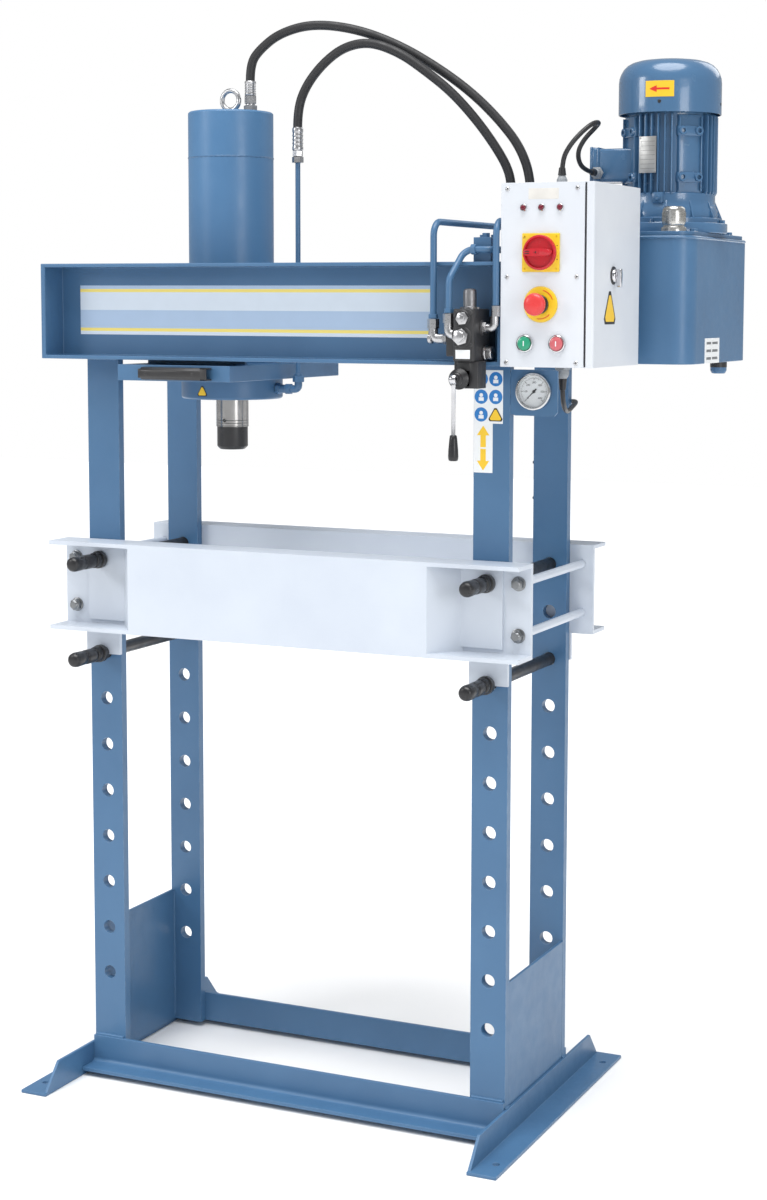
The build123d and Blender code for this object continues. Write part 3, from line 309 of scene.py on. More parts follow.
def lathe(bm, centre, axis, outline, segments=48, turn=0.0, closed=False, slot=0):
    """Turns an outline of (radius, distance along the axis) about the axis."""
    axis = Vector(axis).normalized()
    side, up = across(axis)
    rings = []
    for radius, along in outline:
        middle = Vector(centre) + axis * along
        if radius < 1e-6:
            rings.append([bm.verts.new(middle)])
            continue
        rings.append([
            bm.verts.new(middle + (side * math.cos(a) + up * math.sin(a)) * radius)
            for a in (turn + angle for angle in turns(segments))
        ])
    pairs = list(zip(rings, rings[1:]))
    if closed:
        pairs.append((rings[-1], rings[0]))
    for lower, upper in pairs:
        for step in range(segments):
            following = (step + 1) % segments
            corners = dict.fromkeys([
                lower[step % len(lower)], lower[following % len(lower)],
                upper[following % len(upper)], upper[step % len(upper)],
            ])
            if len(corners) > 2:
                bm.faces.new(list(corners)).material_index = slot


def disc_stack(bm, centre, axis, steps, segments=48, edge=0.0006, slot=0):
    """Discs along an axis with eased rims, from (radius, start, end)."""
    for radius, start, end in steps:
        lathe(bm, centre, axis, [
            (0, start), (radius - edge, start), (radius, start + edge),
            (radius, end - edge), (radius - edge, end), (0, end),
        ], segments, slot=slot)


def hexagon(bm, centre, axis, flats, height, start=0.0, turn=0.0):
    """A hexagon nut or bolt head with chamfered corners."""
    corner = flats / math.sqrt(3)
    ease = flats * 0.06
    lathe(bm, centre, axis, [
        (0, start), (corner - ease, start), (corner, start + ease * 0.6),
        (corner, start + height - ease * 0.6), (corner - ease, start + height), (0, start + height),
    ], 6, turn)


def turned(*settings, **more):
    """A new mesh with one turned outline in it."""
    bm = bmesh.new()
    lathe(bm, *settings, **more)
    return bm


def brick(bm, low, high, ease=0.0, steps=2, slot=0):
    """A block between two corners with rounded edges."""
    low, high = Vector(low), Vector(high)
    made = bmesh.ops.create_cube(bm, size=1)["verts"]
    size = high - low
    for vert in made:
        vert.co = Vector((vert.co[i] * size[i] + (low[i] + high[i]) / 2 for i in range(3)))
    faces = {face for vert in made for face in vert.link_faces}
    if ease:
        edges = {edge for vert in made for edge in vert.link_edges}
        shape = bmesh.ops.bevel(bm, geom=list(edges), offset=ease, segments=steps, profile=0.5,
                                affect="EDGES")
        faces = {face for face in faces if face.is_valid} | set(shape["faces"])
    for face in faces:
        face.material_index = slot


def prism(bm, outline, depth, ease=0.0, slot=0):
    """A flat outline given depth, a vector."""
    depth = Vector(depth)
    near = [bm.verts.new(Vector(point)) for point in outline]
    far = [bm.verts.new(Vector(point) + depth) for point in outline]
    faces = [bm.faces.new(near), bm.faces.new(list(reversed(far)))]
    count = len(outline)
    for step in range(count):
        following = (step + 1) % count
        faces.append(bm.faces.new([near[following], near[step], far[step], far[following]]))
    if ease:
        edges = {edge for face in faces for edge in face.edges}
        shape = bmesh.ops.bevel(bm, geom=list(edges), offset=ease, segments=2, profile=0.5,
                                affect="EDGES")
        faces = [face for face in faces if face.is_valid] + shape["faces"]
    for face in faces:
        face.material_index = slot


def strip(bm, base, along, start, end, side, half, depth, ease=0.0, slot=0, far_half=None):
    """A four-cornered block from start to end along one direction, half as wide to each side."""
    far_half = far_half or half
    corners = [base + along * start - side * half, base + along * start + side * half,
               base + along * end + side * far_half, base + along * end - side * far_half]
    prism(bm, corners, depth, ease, slot)


def sweep(bm, points, radius, segments=20):
    """A round tube along points; radius is a number or a function of the share of the way."""
    points = [Vector(point) for point in points]
    heading = (points[1] - points[0]).normalized()
    side, up = across(heading)
    rings = []
    for index, point in enumerate(points):
        behind = points[max(index - 1, 0)]
        ahead = points[min(index + 1, len(points) - 1)]
        along = (ahead - behind).normalized()
        side = (side - along * side.dot(along)).normalized()
        up = along.cross(side)
        size = radius(index / (len(points) - 1)) if callable(radius) else radius
        rings.append([
            bm.verts.new(point + (side * math.cos(a) + up * math.sin(a)) * size)
            for a in turns(segments)
        ])
    for lower, upper in zip(rings, rings[1:]):
        for step in range(segments):
            following = (step + 1) % segments
            bm.faces.new([lower[step], lower[following], upper[following], upper[step]])
    bm.faces.new(list(reversed(rings[0])))
    bm.faces.new(rings[-1])


def arc_points(centre, start, end, radius, first, second, steps=8):
    """Points on an arc in the plane of the directions first and second; angles in degrees."""
    made = []
    for step in range(steps + 1):
        angle = math.radians(start + (end - start) * step / steps)
        made.append(centre + (Vector(first) * math.cos(angle) + Vector(second) * math.sin(angle)) * radius)
    return made


DRESS_ANGLE = 30


def smooth(mesh, angle=38):
    mesh.shade_smooth()
    mesh.set_sharp_from_angle(angle=math.radians(angle))


def piece(name, bm, materials, body, stands_for=(), angle=38):
    """Finishes a mesh: materials, shading and body; hides the nodes it stands for."""
    bmesh.ops.recalc_face_normals(bm, faces=bm.faces)
    mesh = bpy.data.meshes.new(name)
    bm.to_mesh(mesh)
    bm.free()
    made = link(bpy.data.objects.new(name, mesh))
    for material in materials if isinstance(materials, (list, tuple)) else [materials]:
        mesh.materials.append(material)
    smooth(mesh, angle)
    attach(made, body)
    if stands_for:
        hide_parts(*stands_for)
    return made


def dress(node, material, ease=0.0012):
    """A CAD node keeps its shape; it gets a finished material and eased edges."""
    made = NODES[node]
    made.data.materials.clear()
    made.data.materials.append(material)
    custom = made.data.attributes.get("custom_normal")
    if custom:
        made.data.attributes.remove(custom)
    smooth(made.data, DRESS_ANGLE)
    if ease:
        weld = made.modifiers.new("weld", "WELD")
        weld.merge_threshold = 0.00002
        flatten = made.modifiers.new("flatten", "DECIMATE")
        flatten.decimate_type = "DISSOLVE"
        flatten.angle_limit = math.radians(0.8)
        bevel = made.modifiers.new("bevel", "BEVEL")
        bevel.width = ease
        bevel.segments = 2
        bevel.limit_method = "ANGLE"
        bevel.angle_limit = math.radians(DRESS_ANGLE)
        even = made.modifiers.new("even", "WEIGHTED_NORMAL")
        even.weight = 100
        even.keep_sharp = True


def middle(node):
    low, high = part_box(node)
    return (low + high) / 2


# ---------------------------------------------------------------- cords
HOSE_UPPER = [
    (-0.171, 0, 2.013), (-0.171, 0, 2.047), (-0.15, 0.003, 2.075), (-0.108, 0.008, 2.105),
    (-0.04, 0.018, 2.121), (0.05, 0.03, 2.108), (0.137, 0.043, 2.074), (0.215, 0.054, 2.028),
    (0.282, 0.064, 1.979), (0.338, 0.072, 1.924), (0.378, 0.078, 1.872), (0.398, 0.082, 1.812),
    (0.398, 0.082, 1.76),
]
HOSE_LOWER = [
    (-0.065, 0, 1.919), (-0.065, 0, 1.956), (-0.046, 0.002, 2.002), (-0.008, 0.004, 2.044),
    (0.036, 0.006, 2.072), (0.09, 0.008, 2.079), (0.15, 0.016, 2.056), (0.199, 0.026, 2.021),
    (0.247, 0.038, 1.982), (0.29, 0.05, 1.934), (0.326, 0.062, 1.884), (0.352, 0.076, 1.836),
    (0.358, 0.082, 1.798), (0.358, 0.082, 1.76),
]
MOTOR_CABLE = [
    (0.505, -0.034, 1.812), (0.505, -0.034, 1.84), (0.516, -0.027, 1.866), (0.532, -0.012, 1.89),
    (0.548, 0.01, 1.91), (0.551, 0.042, 1.914), (0.532, 0.064, 1.904), (0.51, 0.07, 1.886),
    (0.497, 0.068, 1.862), (0.496, 0.084, 1.838), (0.505, 0.11, 1.827), (0.505, 0.138, 1.827),
]
MAINS_CABLE = [
    (0.535, -0.1, 1.438), (0.535, -0.1, 1.405), (0.526, -0.066, 1.383), (0.511, -0.014, 1.374),
    (0.496, 0.04, 1.373), (0.482, 0.094, 1.377), (0.471, 0.148, 1.384), (0.45, 0.187, 1.385),
    (0.42, 0.198, 1.369), (0.406, 0.184, 1.342), (0.406, 0.181, 1.312),
]
HOSE_D = 0.018
CABLE_D = 0.009
FOLD_TURNS = 3
FOLD_STEPS = 6
RUN_STEP = 0.015
LINE_PULL = 1.018


def route_curve(name, points, thickness=0.0):
    """A smooth line with the route's points as its control points."""
    data = bpy.data.curves.new(name, "CURVE")
    data.dimensions = "3D"
    data.resolution_u = 12
    spline = data.splines.new("NURBS")
    spline.points.add(len(points) - 1)
    for point, target in zip(points, spline.points):
        target.co = (*point, 1)
    spline.order_u = 3
    spline.use_endpoint_u = True
    data.bevel_depth = thickness
    data.bevel_resolution = 6
    data.use_fill_caps = bool(thickness)
    return bpy.data.objects.new(name, data)


def route_line(points):
    """The smooth line's own points."""
    curve = route_curve("line", points)
    mesh = bpy.data.meshes.new_from_object(curve)
    found = [vert.co.copy() for vert in mesh.vertices]
    bpy.data.objects.remove(curve)
    bpy.data.meshes.remove(mesh)
    return found


def line_length(points):
    return sum((b - a).length for a, b in zip(points, points[1:]))


def crimped(bm, centre, axis, length, radius):
    """A hose's crimped ferrule, with its pressed rings."""
    outline = [(0, 0), (radius * 0.93, 0), (radius, length * 0.04)]
    rings = 4
    for ring in range(rings):
        start = length * (0.16 + 0.68 * ring / rings)
        width = length * 0.68 / rings
        outline += [(radius, start), (radius * 0.93, start + width * 0.25),
                    (radius * 0.93, start + width * 0.6), (radius, start + width * 0.85)]
    outline += [(radius, length * 0.95), (radius * 0.9, length), (0, length)]
    lathe(bm, centre, axis, outline, 40)


def hose(name, route, node):
    """A rubber hose swept along its smoothed route, in place of the CAD hose."""
    points = route_line(route)
    bm = bmesh.new()
    sweep(bm, points, HOSE_D / 2, 24)
    bmesh.ops.recalc_face_normals(bm, faces=bm.faces)
    mesh = bpy.data.meshes.new(name)
    bm.to_mesh(mesh)
    bm.free()
    mesh.materials.append(RUBBER)
    smooth(mesh)
    made = link(bpy.data.objects.new(name, mesh))
    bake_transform(made)
    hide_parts(node)


hose("hose_upper_tube", HOSE_UPPER, "hose_upper")
hose("hose_lower_tube", HOSE_LOWER, "hose_lower")


def cable(name, route, nodes, **facts):
    made = link(route_curve(name, route, CABLE_D / 2))
    made.data.materials.append(JACKET)
    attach(made, "press_frame")
    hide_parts(*nodes)
    line_length(route_line(route))


cable("motor_lead", MOTOR_CABLE, ["motor_cable"], far_end="object", stiffness="medium", lay="loose")


def half_turn(centre, radius, start, fold_y, advance):
    """Half a turn in the hank's plane, clockwise from the start angle, moving along Y."""
    points = []
    for step in range(FOLD_STEPS + 1):
        share = step / FOLD_STEPS
        angle = start - math.pi * share
        points.append((
            centre[0] + radius * math.cos(angle), fold_y + advance * share,
            centre[1] + radius * math.sin(angle),
        ))
    return points


def straight_run(start, end_z):
    """Evenly spaced points down or up one side of the hank."""
    steps = round(abs(end_z - start[2]) / RUN_STEP)
    return [(start[0], start[1], start[2] + (end_z - start[2]) * step / steps) for step in range(1, steps)]


def mains_lead():
    """The mains lead's route, with its unseen length in the hank behind the upright."""
    low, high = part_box("mains_coil")
    middle_x = (low.x + high.x) / 2
    radius = (high.x - low.x - CABLE_D) / 2
    bottom_z = low.z + CABLE_D / 2 + radius
    top_z = high.z - CABLE_D / 2 - radius
    pitch = (high.y - low.y - CABLE_D) / (FOLD_TURNS - 1)
    fold_y = low.y + CABLE_D / 2
    radius *= LINE_PULL
    side_x = middle_x + radius
    route = list(MAINS_CABLE[:-4])
    route += [
        (side_x + 0.022, fold_y + 0.0005, top_z + 0.1055), (side_x + 0.0085, fold_y + 0.017, top_z + 0.104),
        (side_x - 0.0065, fold_y + 0.0225, top_z + 0.098), (side_x - 0.0215, fold_y + 0.0215, top_z + 0.078),
        (side_x - 0.024, fold_y + 0.0135, top_z + 0.055), (side_x - 0.018, fold_y + 0.0055, top_z + 0.033),
        (side_x - 0.0055, fold_y + 0.0008, top_z + 0.013), (side_x, fold_y, top_z - 0.011),
    ]
    for turn in range(FOLD_TURNS):
        lift = 0.014 if turn == FOLD_TURNS - 1 else 0.0
        route += straight_run(route[-1], bottom_z)
        route += half_turn((middle_x, bottom_z), radius, 0.0, fold_y, pitch / 2)
        route += straight_run(route[-1], top_z + lift)
        route += half_turn((middle_x, top_z + lift), radius, math.pi, fold_y + pitch / 2, pitch / 2)
        fold_y += pitch
    plug_low, plug_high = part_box("mains_plug")
    plug_top = ((plug_low.x + plug_high.x) / 2, (plug_low.y + plug_high.y) / 2, plug_high.z)
    last = route[-1]
    for down, across_share in ((0.25, 0.125), (0.5, 0.5), (0.75, 0.875)):
        route.append((
            last[0] + (plug_top[0] - last[0]) * across_share,
            last[1] + (plug_top[1] - last[1]) * across_share,
            last[2] + (plug_top[2] - last[2]) * down,
        ))
    route.append(plug_top)
    return route


MAINS_ROUTE = mains_lead()


def plug_and_lead():
    plug_low, plug_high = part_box("mains_plug")
    centre = ((plug_low.x + plug_high.x) / 2, (plug_low.y + plug_high.y) / 2, plug_low.z)
    height = plug_high.z - plug_low.z
    bm = bmesh.new()
    lathe(bm, centre, Z, [
        (0, 0.004), (0.0165, 0.004), (0.0165, 0), (0.0195, 0), (0.0205, 0.0015), (0.0205, 0.012),
        (0.0195, 0.0135), (0.0195, 0.03), (0.0205, 0.032), (0.0205, 0.037), (0.0175, 0.042), (0.0168, 0.054),
        (0.015, 0.058), (0.012, 0.06), (0.0115, height - 0.008), (0.009, height - 0.002), (0.0062, height),
        (0, height),
    ], 40)
    for angle in turns(5):
        pin = Vector(centre) + in_plan(angle)[0] * 0.0105
        disc_stack(bm, pin, Z, [(0.0022, 0.001, 0.006)], 12, 0.0004, slot=1)
    plug = piece("mains_plug_body", bm, [PLUG_BLACK, ZINC], "press_frame", ["mains_plug"])
    cable("mains_lead", MAINS_ROUTE, ["mains_cable", "mains_coil"], far_end="plug",
          stiffness="medium", lay="hanging", with_pieces=[plug])


plug_and_lead()


def lead_ties():
    """Two straps round each side of the hank."""
    low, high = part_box("mains_coil")
    width = 0.0102
    thick = 0.0008
    for index, share in enumerate((0.3, 0.7)):
        bm = bmesh.new()
        z = low.z + (high.z - low.z) * share
        for left, right in ((low.x, low.x + width), (high.x - width, high.x)):
            for start, end in (
                ((left, low.y - thick), (right, low.y)), ((left, high.y), (right, high.y + thick)),
                ((left, low.y), (left + thick, high.y)), ((right - thick, low.y), (right, high.y)),
            ):
                brick(bm, (*start, z), (*end, z + 0.005), 0.0002)
        piece(f"lead_tie_{index + 1}", bm, PLUG_BLACK, "press_frame")


lead_ties()

# ---------------------------------------------------------------- frame
FRAME_NODES = [f"upright_{place}_{side}" for place in ("front", "rear") for side in ("left", "right")]
FRAME_NODES += ["top_beam_front", "top_beam_rear", "base_rail_front", "base_rail_rear"]
FRAME_NODES += [f"{kind}_{side}" for kind in ("foot", "side_plate") for side in ("left", "right")]
for node in FRAME_NODES:
    dress(node, BLUE_PAINT, 0.0016 if node.startswith(("top_beam", "foot")) else 0.001)
dress("carriage_plate", BLUE_PAINT, 0.0015)
dress("cylinder_head", BLUE_PAINT, 0.0015)
# The cylinder tube takes the lightened copy of the blue paint: a painted highlight.
dress("cylinder_tube", BLUE_CYLINDER_HIGHLIGHT, 0.0012)
for node in ("bed_channel_front", "bed_channel_rear"):
    dress(node, BED_PAINT, 0.0014)
dress("hydraulic_pipes", BLUE_PAINT, 0.0005)
dress("ram_rod", RAM_CHROME, 0.0006)
dress("ram_nose", BLACK_STEEL, 0.0008)
for node in ("piston", "valve_spool", "motor_rotor", "drive_gear", "driven_gear"):
    dress(node, GROUND_STEEL, 0.0)
dress("gear_pump", CAST_ALUMINIUM, 0.0015)
dress("gauge_glass", GLASS, 0.0)
dress("enclosure", BOX_PAINT, 0.0012)
dress("enclosure_door", BOX_PAINT, 0.0014)
dress("oil_tank", BLUE_PAINT, 0.0014)
dress("tank_lid", BLUE_PAINT, 0.0012)


def weld_bead(bm, start, end, radius=0.003):
    """A weld's rippled bead between two points."""
    start, end = Vector(start), Vector(end)
    steps = max(8, int((end - start).length / 0.0035))
    points = [start.lerp(end, k / steps) for k in range(steps + 1)]
    sweep(bm, points, lambda share: radius * (1 + 0.16 * math.sin(share * steps * math.pi * 0.9)), 8)


FOOT_TOP = 0.058


def frame_welds():
    bm = bmesh.new()
    for side in ("left", "right"):
        for place, out in (("front", -1), ("rear", 1)):
            post_low, post_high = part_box(f"upright_{place}_{side}")
            beam_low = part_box(f"top_beam_{place}")[0]
            rail_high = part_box(f"base_rail_{place}")[1]
            face = post_low.y if out < 0 else post_high.y
            ends = (post_low.x + 0.004, post_high.x - 0.004)
            weld_bead(bm, (ends[0], face, beam_low.z - 0.0005), (ends[1], face, beam_low.z - 0.0005))
            weld_bead(bm, (ends[0], face, rail_high.z + 0.0005), (ends[1], face, rail_high.z + 0.0005),
                      0.0035)
            plate_low, plate_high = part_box(f"side_plate_{side}")
            inner = post_high.y if out < 0 else post_low.y
            edge = plate_low.x if side == "right" else plate_high.x
            weld_bead(bm, (edge, inner, plate_low.z + 0.01), (edge, inner, plate_high.z - 0.004), 0.0025)
        post_low, post_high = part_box(f"upright_front_{side}")
        edge = post_high.x if side == "right" else post_low.x
        for place in ("front", "rear"):
            post_low, post_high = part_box(f"upright_{place}_{side}")
            weld_bead(bm, (edge, post_low.y, FOOT_TOP), (edge, post_high.y, FOOT_TOP), 0.003)
    piece("frame_welds", bm, BLUE_PAINT, "press_frame", angle=60)


frame_welds()


NUT_DEPTH = 0.017


def tie_rods():
    """The four long rods through the bed, and the nut and washer at each end."""
    low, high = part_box("bed_tie_rods")
    rods, nuts = bmesh.new(), bmesh.new()
    nut_radius = 0.0138
    rod_radius = 0.008
    rod = high.y - low.y - 2 * NUT_DEPTH
    reach_x = (high.x - low.x) / 2 - nut_radius
    for x in (-reach_x, reach_x):
        for z in (low.z + 0.0121, high.z - 0.0121):
            lathe(rods, (x, low.y + NUT_DEPTH, z), Y, [(0, 0), (rod_radius, 0), (rod_radius, rod), (0, rod)],
                  32)
            for out, tip in ((-1, low.y), (1, high.y)):
                face = Vector((x, tip - out * NUT_DEPTH, z))
                lathe(nuts, face, Y * out, mm(0, 0, 13.3, 0, 13.8, 0.6, 13.8, 1.7, 13, 2.2, 0, 2.2), 32)
                hexagon(nuts, face, Y * out, 0.0205, 0.0098, start=0.0022, turn=x + z * 3)
                thread = [(0, 0.011)]
                for ring in range(4):
                    thread += [(0.0072, 0.0115 + ring * 0.0013), (0.0079, 0.0121 + ring * 0.0013)]
                lathe(nuts, face, Y * out, thread + [(0.007, 0.0168), (0, 0.017)], 24)
    piece("tie_rod_bars", rods, BED_PAINT, "press_frame", ["bed_tie_rods"])
    piece("tie_rod_nuts", nuts, DARK_ZINC, "press_frame")


tie_rods()


# ---------------------------------------------------------------- pins
def pin_piece(level, side):
    """A steel pin with a turned collar and a moulded grip."""
    node = f"pin_{level}_{side}"
    low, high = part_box(node)
    centre = Vector(((low.x + high.x) / 2, high.y, (low.z + high.z) / 2))
    length = high.y - low.y
    bm = bmesh.new()
    bar = 0.0125
    collar = high.y + 0.1785
    lathe(bm, centre, -Y, [
        (0, 0), (bar - 0.002, 0), (bar, 0.002), (bar, collar), (0.0168, collar), (0.0174, collar + 0.001),
        (0.0174, collar + 0.0105), (0.016, collar + 0.0115), (0, collar + 0.0115),
    ], 40)
    start = collar + 0.0115
    outline = [(0, start), (0.014, start), (0.0152, start + 0.002), (0.0155, start + 0.012),
               (0.0148, start + 0.015), (0.0128, start + 0.0165), (0.0126, start + 0.019),
               (0.0138, start + 0.0205)]
    outline += [(0.0144, start + 0.026), (0.0144, start + 0.046), (0.0138, start + 0.05),
                (0.0124, start + 0.0515), (0.0124, start + 0.0535), (0.014, start + 0.055)]
    end = length - start
    outline += [(0.0148, start + end - 0.02), (0.0148, start + end - 0.011), (0.0135, start + end - 0.005),
                (0.0108, start + end - 0.0016), (0.007, length), (0, length)]
    lathe(bm, centre, -Y, outline, 48, slot=1)
    piece(f"{node}_piece", bm, [BLACK_STEEL, GRIP_BLACK], node, [node], angle=45)


for level in ("lower", "upper"):
    for side in ("left", "right"):
        pin_piece(level, side)


# ---------------------------------------------------------------- carriage and cylinder
def carriage_handle():
    low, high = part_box("carriage_handle")
    bm = bmesh.new()
    wall = 0.003
    back = high.y
    outline = [
        (back, low.z), (low.y + 0.006, low.z), (low.y, low.z + 0.006),
        (low.y, high.z - 0.006), (low.y + 0.006, high.z), (back, high.z),
    ]
    prism(bm, [(low.x + 0.006, y, z) for y, z in outline], (high.x - low.x - 0.018, 0, 0), 0.0015)
    for y, z, height in ((low.y, low.z, wall), (low.y, high.z - wall, wall)):
        brick(bm, (high.x - 0.014, y, z), (high.x, back, z + height), 0.0008)
    brick(bm, (high.x - 0.014, low.y, low.z), (high.x, low.y + wall, high.z), 0.0008)
    brick(bm, (low.x, low.y + 0.004, low.z + 0.003), (low.x + 0.007, back, high.z - 0.003), 0.0012)
    for x in (low.x + 0.02, high.x - 0.03):
        hexagon(bm, (x, low.y + 0.0004, (low.z + high.z) / 2), -Y, 0.006, 0.0006)
    piece("carriage_handle_piece", bm, BLACK_STEEL, "carriage", ["carriage_handle"])


carriage_handle()


def cylinder_details():
    low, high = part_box("cylinder_tube")
    centre = Vector(((low.x + high.x) / 2, 0, 0))
    radius = (high.x - low.x) / 2
    seam = 1.862
    bm = bmesh.new()
    steps = 150
    ring = [
        centre + Vector((math.cos(2 * math.pi * k / steps) * (radius - 0.0014),
                         math.sin(2 * math.pi * k / steps) * (radius - 0.0014), seam))
        for k in range(steps + 1)
    ]
    sweep(bm, ring, lambda share: 0.0022 * (1 + 0.18 * math.sin(share * steps * 1.9)), 8)
    piece("cylinder_seam", bm, BLUE_PAINT, "carriage", angle=60)
    bolts = bmesh.new()
    head_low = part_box("cylinder_head")[0]
    for step in range(8):
        angle = math.radians(22.5 + 45 * step)
        spot = Vector((centre.x + 0.084 * math.cos(angle), 0.084 * math.sin(angle), head_low.z + 0.0018))
        lathe(bolts, spot, -Z, mm(0, -1, 8.5, -1, 8.5, 0.8, 7.5, 1.6, 4.2, 1.6, 4.2, 0.2, 0, 0.2), 24)
    piece("head_screws", bolts, BLACK_STEEL, "carriage")
    wiper = turned((centre.x, 0, head_low.z), -Z,
                   mm(32.9, -4, 39.5, -4, 39.5, -0.2, 38, 0.6, 34.5, 0.6, 32.9, -0.6), 64, closed=True)
    piece("ram_wiper", wiper, RUBBER, "carriage")


cylinder_details()


def ram_details():
    low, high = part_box("ram_rod")
    centre = Vector(((low.x + high.x) / 2, 0, low.z))
    radius = (high.x - low.x) / 2
    bm = bmesh.new()
    for rise in (0.001, 0.0065, 0.012):
        lathe(bm, centre, Z, [
            (radius - 0.0002, rise), (radius + 0.0004, rise + 0.0008), (radius - 0.0002, rise + 0.0016),
        ], 64)
    for angle in (-100, -20, 60, 140):
        way = in_plan(math.radians(angle))[0]
        spot = centre + way * (radius - 0.0032) + Vector((0, 0, -0.01))
        lathe(bm, spot, way, mm(0, 0, 4.2, 0, 4.2, 2, 2.6, 2, 2.4, 0.6, 0, 0.6), 20)
    piece("ram_grooves", bm, BLACK_STEEL, "ram")


ram_details()


def eyebolt():
    low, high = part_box("eyebolt")
    centre = Vector(((low.x + high.x) / 2, 0, high.z - 0.024))
    bm = bmesh.new()
    rings, sides, mean, thick = 48, 20, 0.019, 0.0049
    grid = []
    for a in turns(rings):
        swell = thick * (1 + 0.1 * max(0.0, -math.sin(a)))
        swell = min(swell, 0.0052)
        row = []
        for b in turns(sides):
            distance = mean + swell * math.cos(b) * 0.98
            row.append(bm.verts.new(centre + Vector((distance * math.cos(a), swell * math.sin(b) * 0.95,
                                                     distance * math.sin(a)))))
        grid.append(row)
    for ring in range(rings):
        for side in range(sides):
            following, around = (ring + 1) % rings, (side + 1) % sides
            bm.faces.new([grid[ring][side], grid[following][side], grid[following][around],
                          grid[ring][around]])
    lathe(bm, (centre.x, 0, low.z), Z, mm(0, 0, 10.8, 0, 11, 0.8, 11, 2.8, 9, 4.2, 6.2, 5.8, 0, 6), 40)
    piece("eyebolt_piece", bm, ZINC, "carriage", ["eyebolt"], angle=60)


eyebolt()


def cylinder_fittings():
    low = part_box("cylinder_fittings")[0]
    cap_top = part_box("cylinder_tube")[1].z
    head_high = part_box("cylinder_head")[1]
    top = Vector((HOSE_UPPER[0][0], 0, cap_top))
    side = Vector((HOSE_LOWER[0][0], 0, 0))
    bright = bmesh.new()
    hexagon(bright, top, Z, 0.024, 0.0125, turn=0.2)
    disc_stack(bright, top, Z, [(0.0092, 0.012, 0.016)], 32)
    hexagon(bright, top, Z, 0.02, 0.0165, start=0.0155, turn=0.5)
    crimped(bright, top + Z * 0.032, Z, HOSE_UPPER[0][2] - cap_top - 0.032, 0.0113)
    lower = side + Z * 1.85
    hexagon(bright, lower, Z, 0.02, 0.012, turn=0.3)
    hexagon(bright, lower, Z, 0.018, 0.0115, start=0.0125, turn=0.8)
    crimped(bright, lower + Z * 0.024, Z, HOSE_LOWER[0][2] - 1.85 - 0.024, 0.0108)
    piece("cylinder_unions", bright, ZINC, "carriage", ["cylinder_fittings"])
    painted_parts = bmesh.new()
    port_z = low.z + 0.01
    corner = Vector((side.x, 0, port_z))
    sweep(painted_parts, [Vector((side.x, 0, 1.8505)), corner + Z * 0.01], 0.005, 20)
    sweep(painted_parts, [corner + Z * 0.016, corner + Z * 0.008, *arc_points(
        corner + Vector((-0.008, 0, 0.008)), 0, -90, 0.008, X, Z, 6), corner - X * 0.016], 0.0078, 20)
    hexagon(painted_parts, corner + Z * 0.014, Z, 0.02, 0.012, turn=0.4)
    disc_stack(painted_parts, corner, Z, [(0.008, 0.026, 0.031)], 28)
    reach = corner.x - head_high.x
    hexagon(painted_parts, (head_high.x, 0, port_z), X, 0.02, 0.009)
    disc_stack(painted_parts, (head_high.x, 0, port_z), X, [(0.0085, 0.0085, reach - 0.026)], 32)
    hexagon(painted_parts, (head_high.x, 0, port_z), X, 0.02, 0.011, start=reach - 0.027, turn=0.5)
    piece("cylinder_side_pipe", painted_parts, BLUE_PAINT, "carriage")


cylinder_fittings()


# ---------------------------------------------------------------- valve
VALVE_FRONT = -0.28
VALVE_PIPE_Y = -0.24


def valve_body():
    left, right = 0.393, 0.433
    front, back, bottom, top = VALVE_FRONT, -0.205, 1.472, 1.566
    bm = bmesh.new()
    brick(bm, (left, front, bottom), (right, back, top), 0.003, 3)
    brick(bm, (0.366, -0.25, 1.48), (left + 0.004, back, 1.56), 0.003, 3)
    for z, size in ((1.516, 0.0185), (1.549, 0.015)):
        disc_stack(bm, (0.4105, front + 0.001, z), -Y, [(size, 0, 0.003)], 40, 0.001)
    disc_stack(bm, (left + 0.001, -0.266, 1.52), -X, [(0.0135, 0, 0.0035)], 36, 0.001)
    disc_stack(bm, (right - 0.001, -0.24, 1.532), X, [(0.0135, 0, 0.0035)], 36, 0.001)
    brick(bm, (left + 0.004, front - 0.0012, bottom + 0.003), (right - 0.004, front + 0.004, bottom + 0.023),
          0.0012)
    for x in (left + 0.006, right - 0.006):
        for z in (bottom + 0.03, top - 0.007):
            disc_stack(bm, (x, front + 0.001, z), -Y, [(0.0036, 0, 0.0026)], 20, 0.0005)
    brick(bm, (0.38, back - 0.001, 1.48), (0.43, -0.169, 1.552), 0.002)
    mount_front = -0.271
    brick(bm, (0.392, -0.24, 1.424), (0.438, -0.232, bottom + 0.001), 0.001)
    for lowx, highx, lowz, highz in (
        (0.392, 0.3965, 1.424, bottom), (0.4215, 0.438, 1.424, bottom),
        (0.3965, 0.4215, 1.424, 1.4285), (0.3965, 0.4215, 1.4555, bottom),
    ):
        brick(bm, (lowx, mount_front, lowz), (highx, -0.2395, highz), 0.0008)
    piece("valve_casting", bm, VALVE_BLACK, "press_frame", ["valve_body"])
    grey = bmesh.new()
    lathe(grey, (0.413, -0.25, top), Z,
          mm(0, 0, 13.5, 0, 13.5, 3, 12, 4.2, 12, 30, 11.2, 33.5, 8.5, 35.2, 5, 36, 0, 36), 40)
    for spot_x in (0.398, 0.428):
        lathe(grey, (spot_x, -0.25, top), Z, mm(0, 0, 3.8, 0, 3.8, 3, 2, 3, 2, 1.4, 0, 1.4), 20)
    piece("valve_spring_cap", grey, metal("spring cap grey", (0.3, 0.3, 0.31), (0.35, 0.5)), "press_frame")
    label = bmesh.new()
    brick(label, (left + 0.006, front - 0.0018, bottom + 0.005),
          (right - 0.006, front - 0.0011, bottom + 0.021), 0.0002)
    piece("valve_label", label, WHITE_INK, "press_frame")


valve_body()


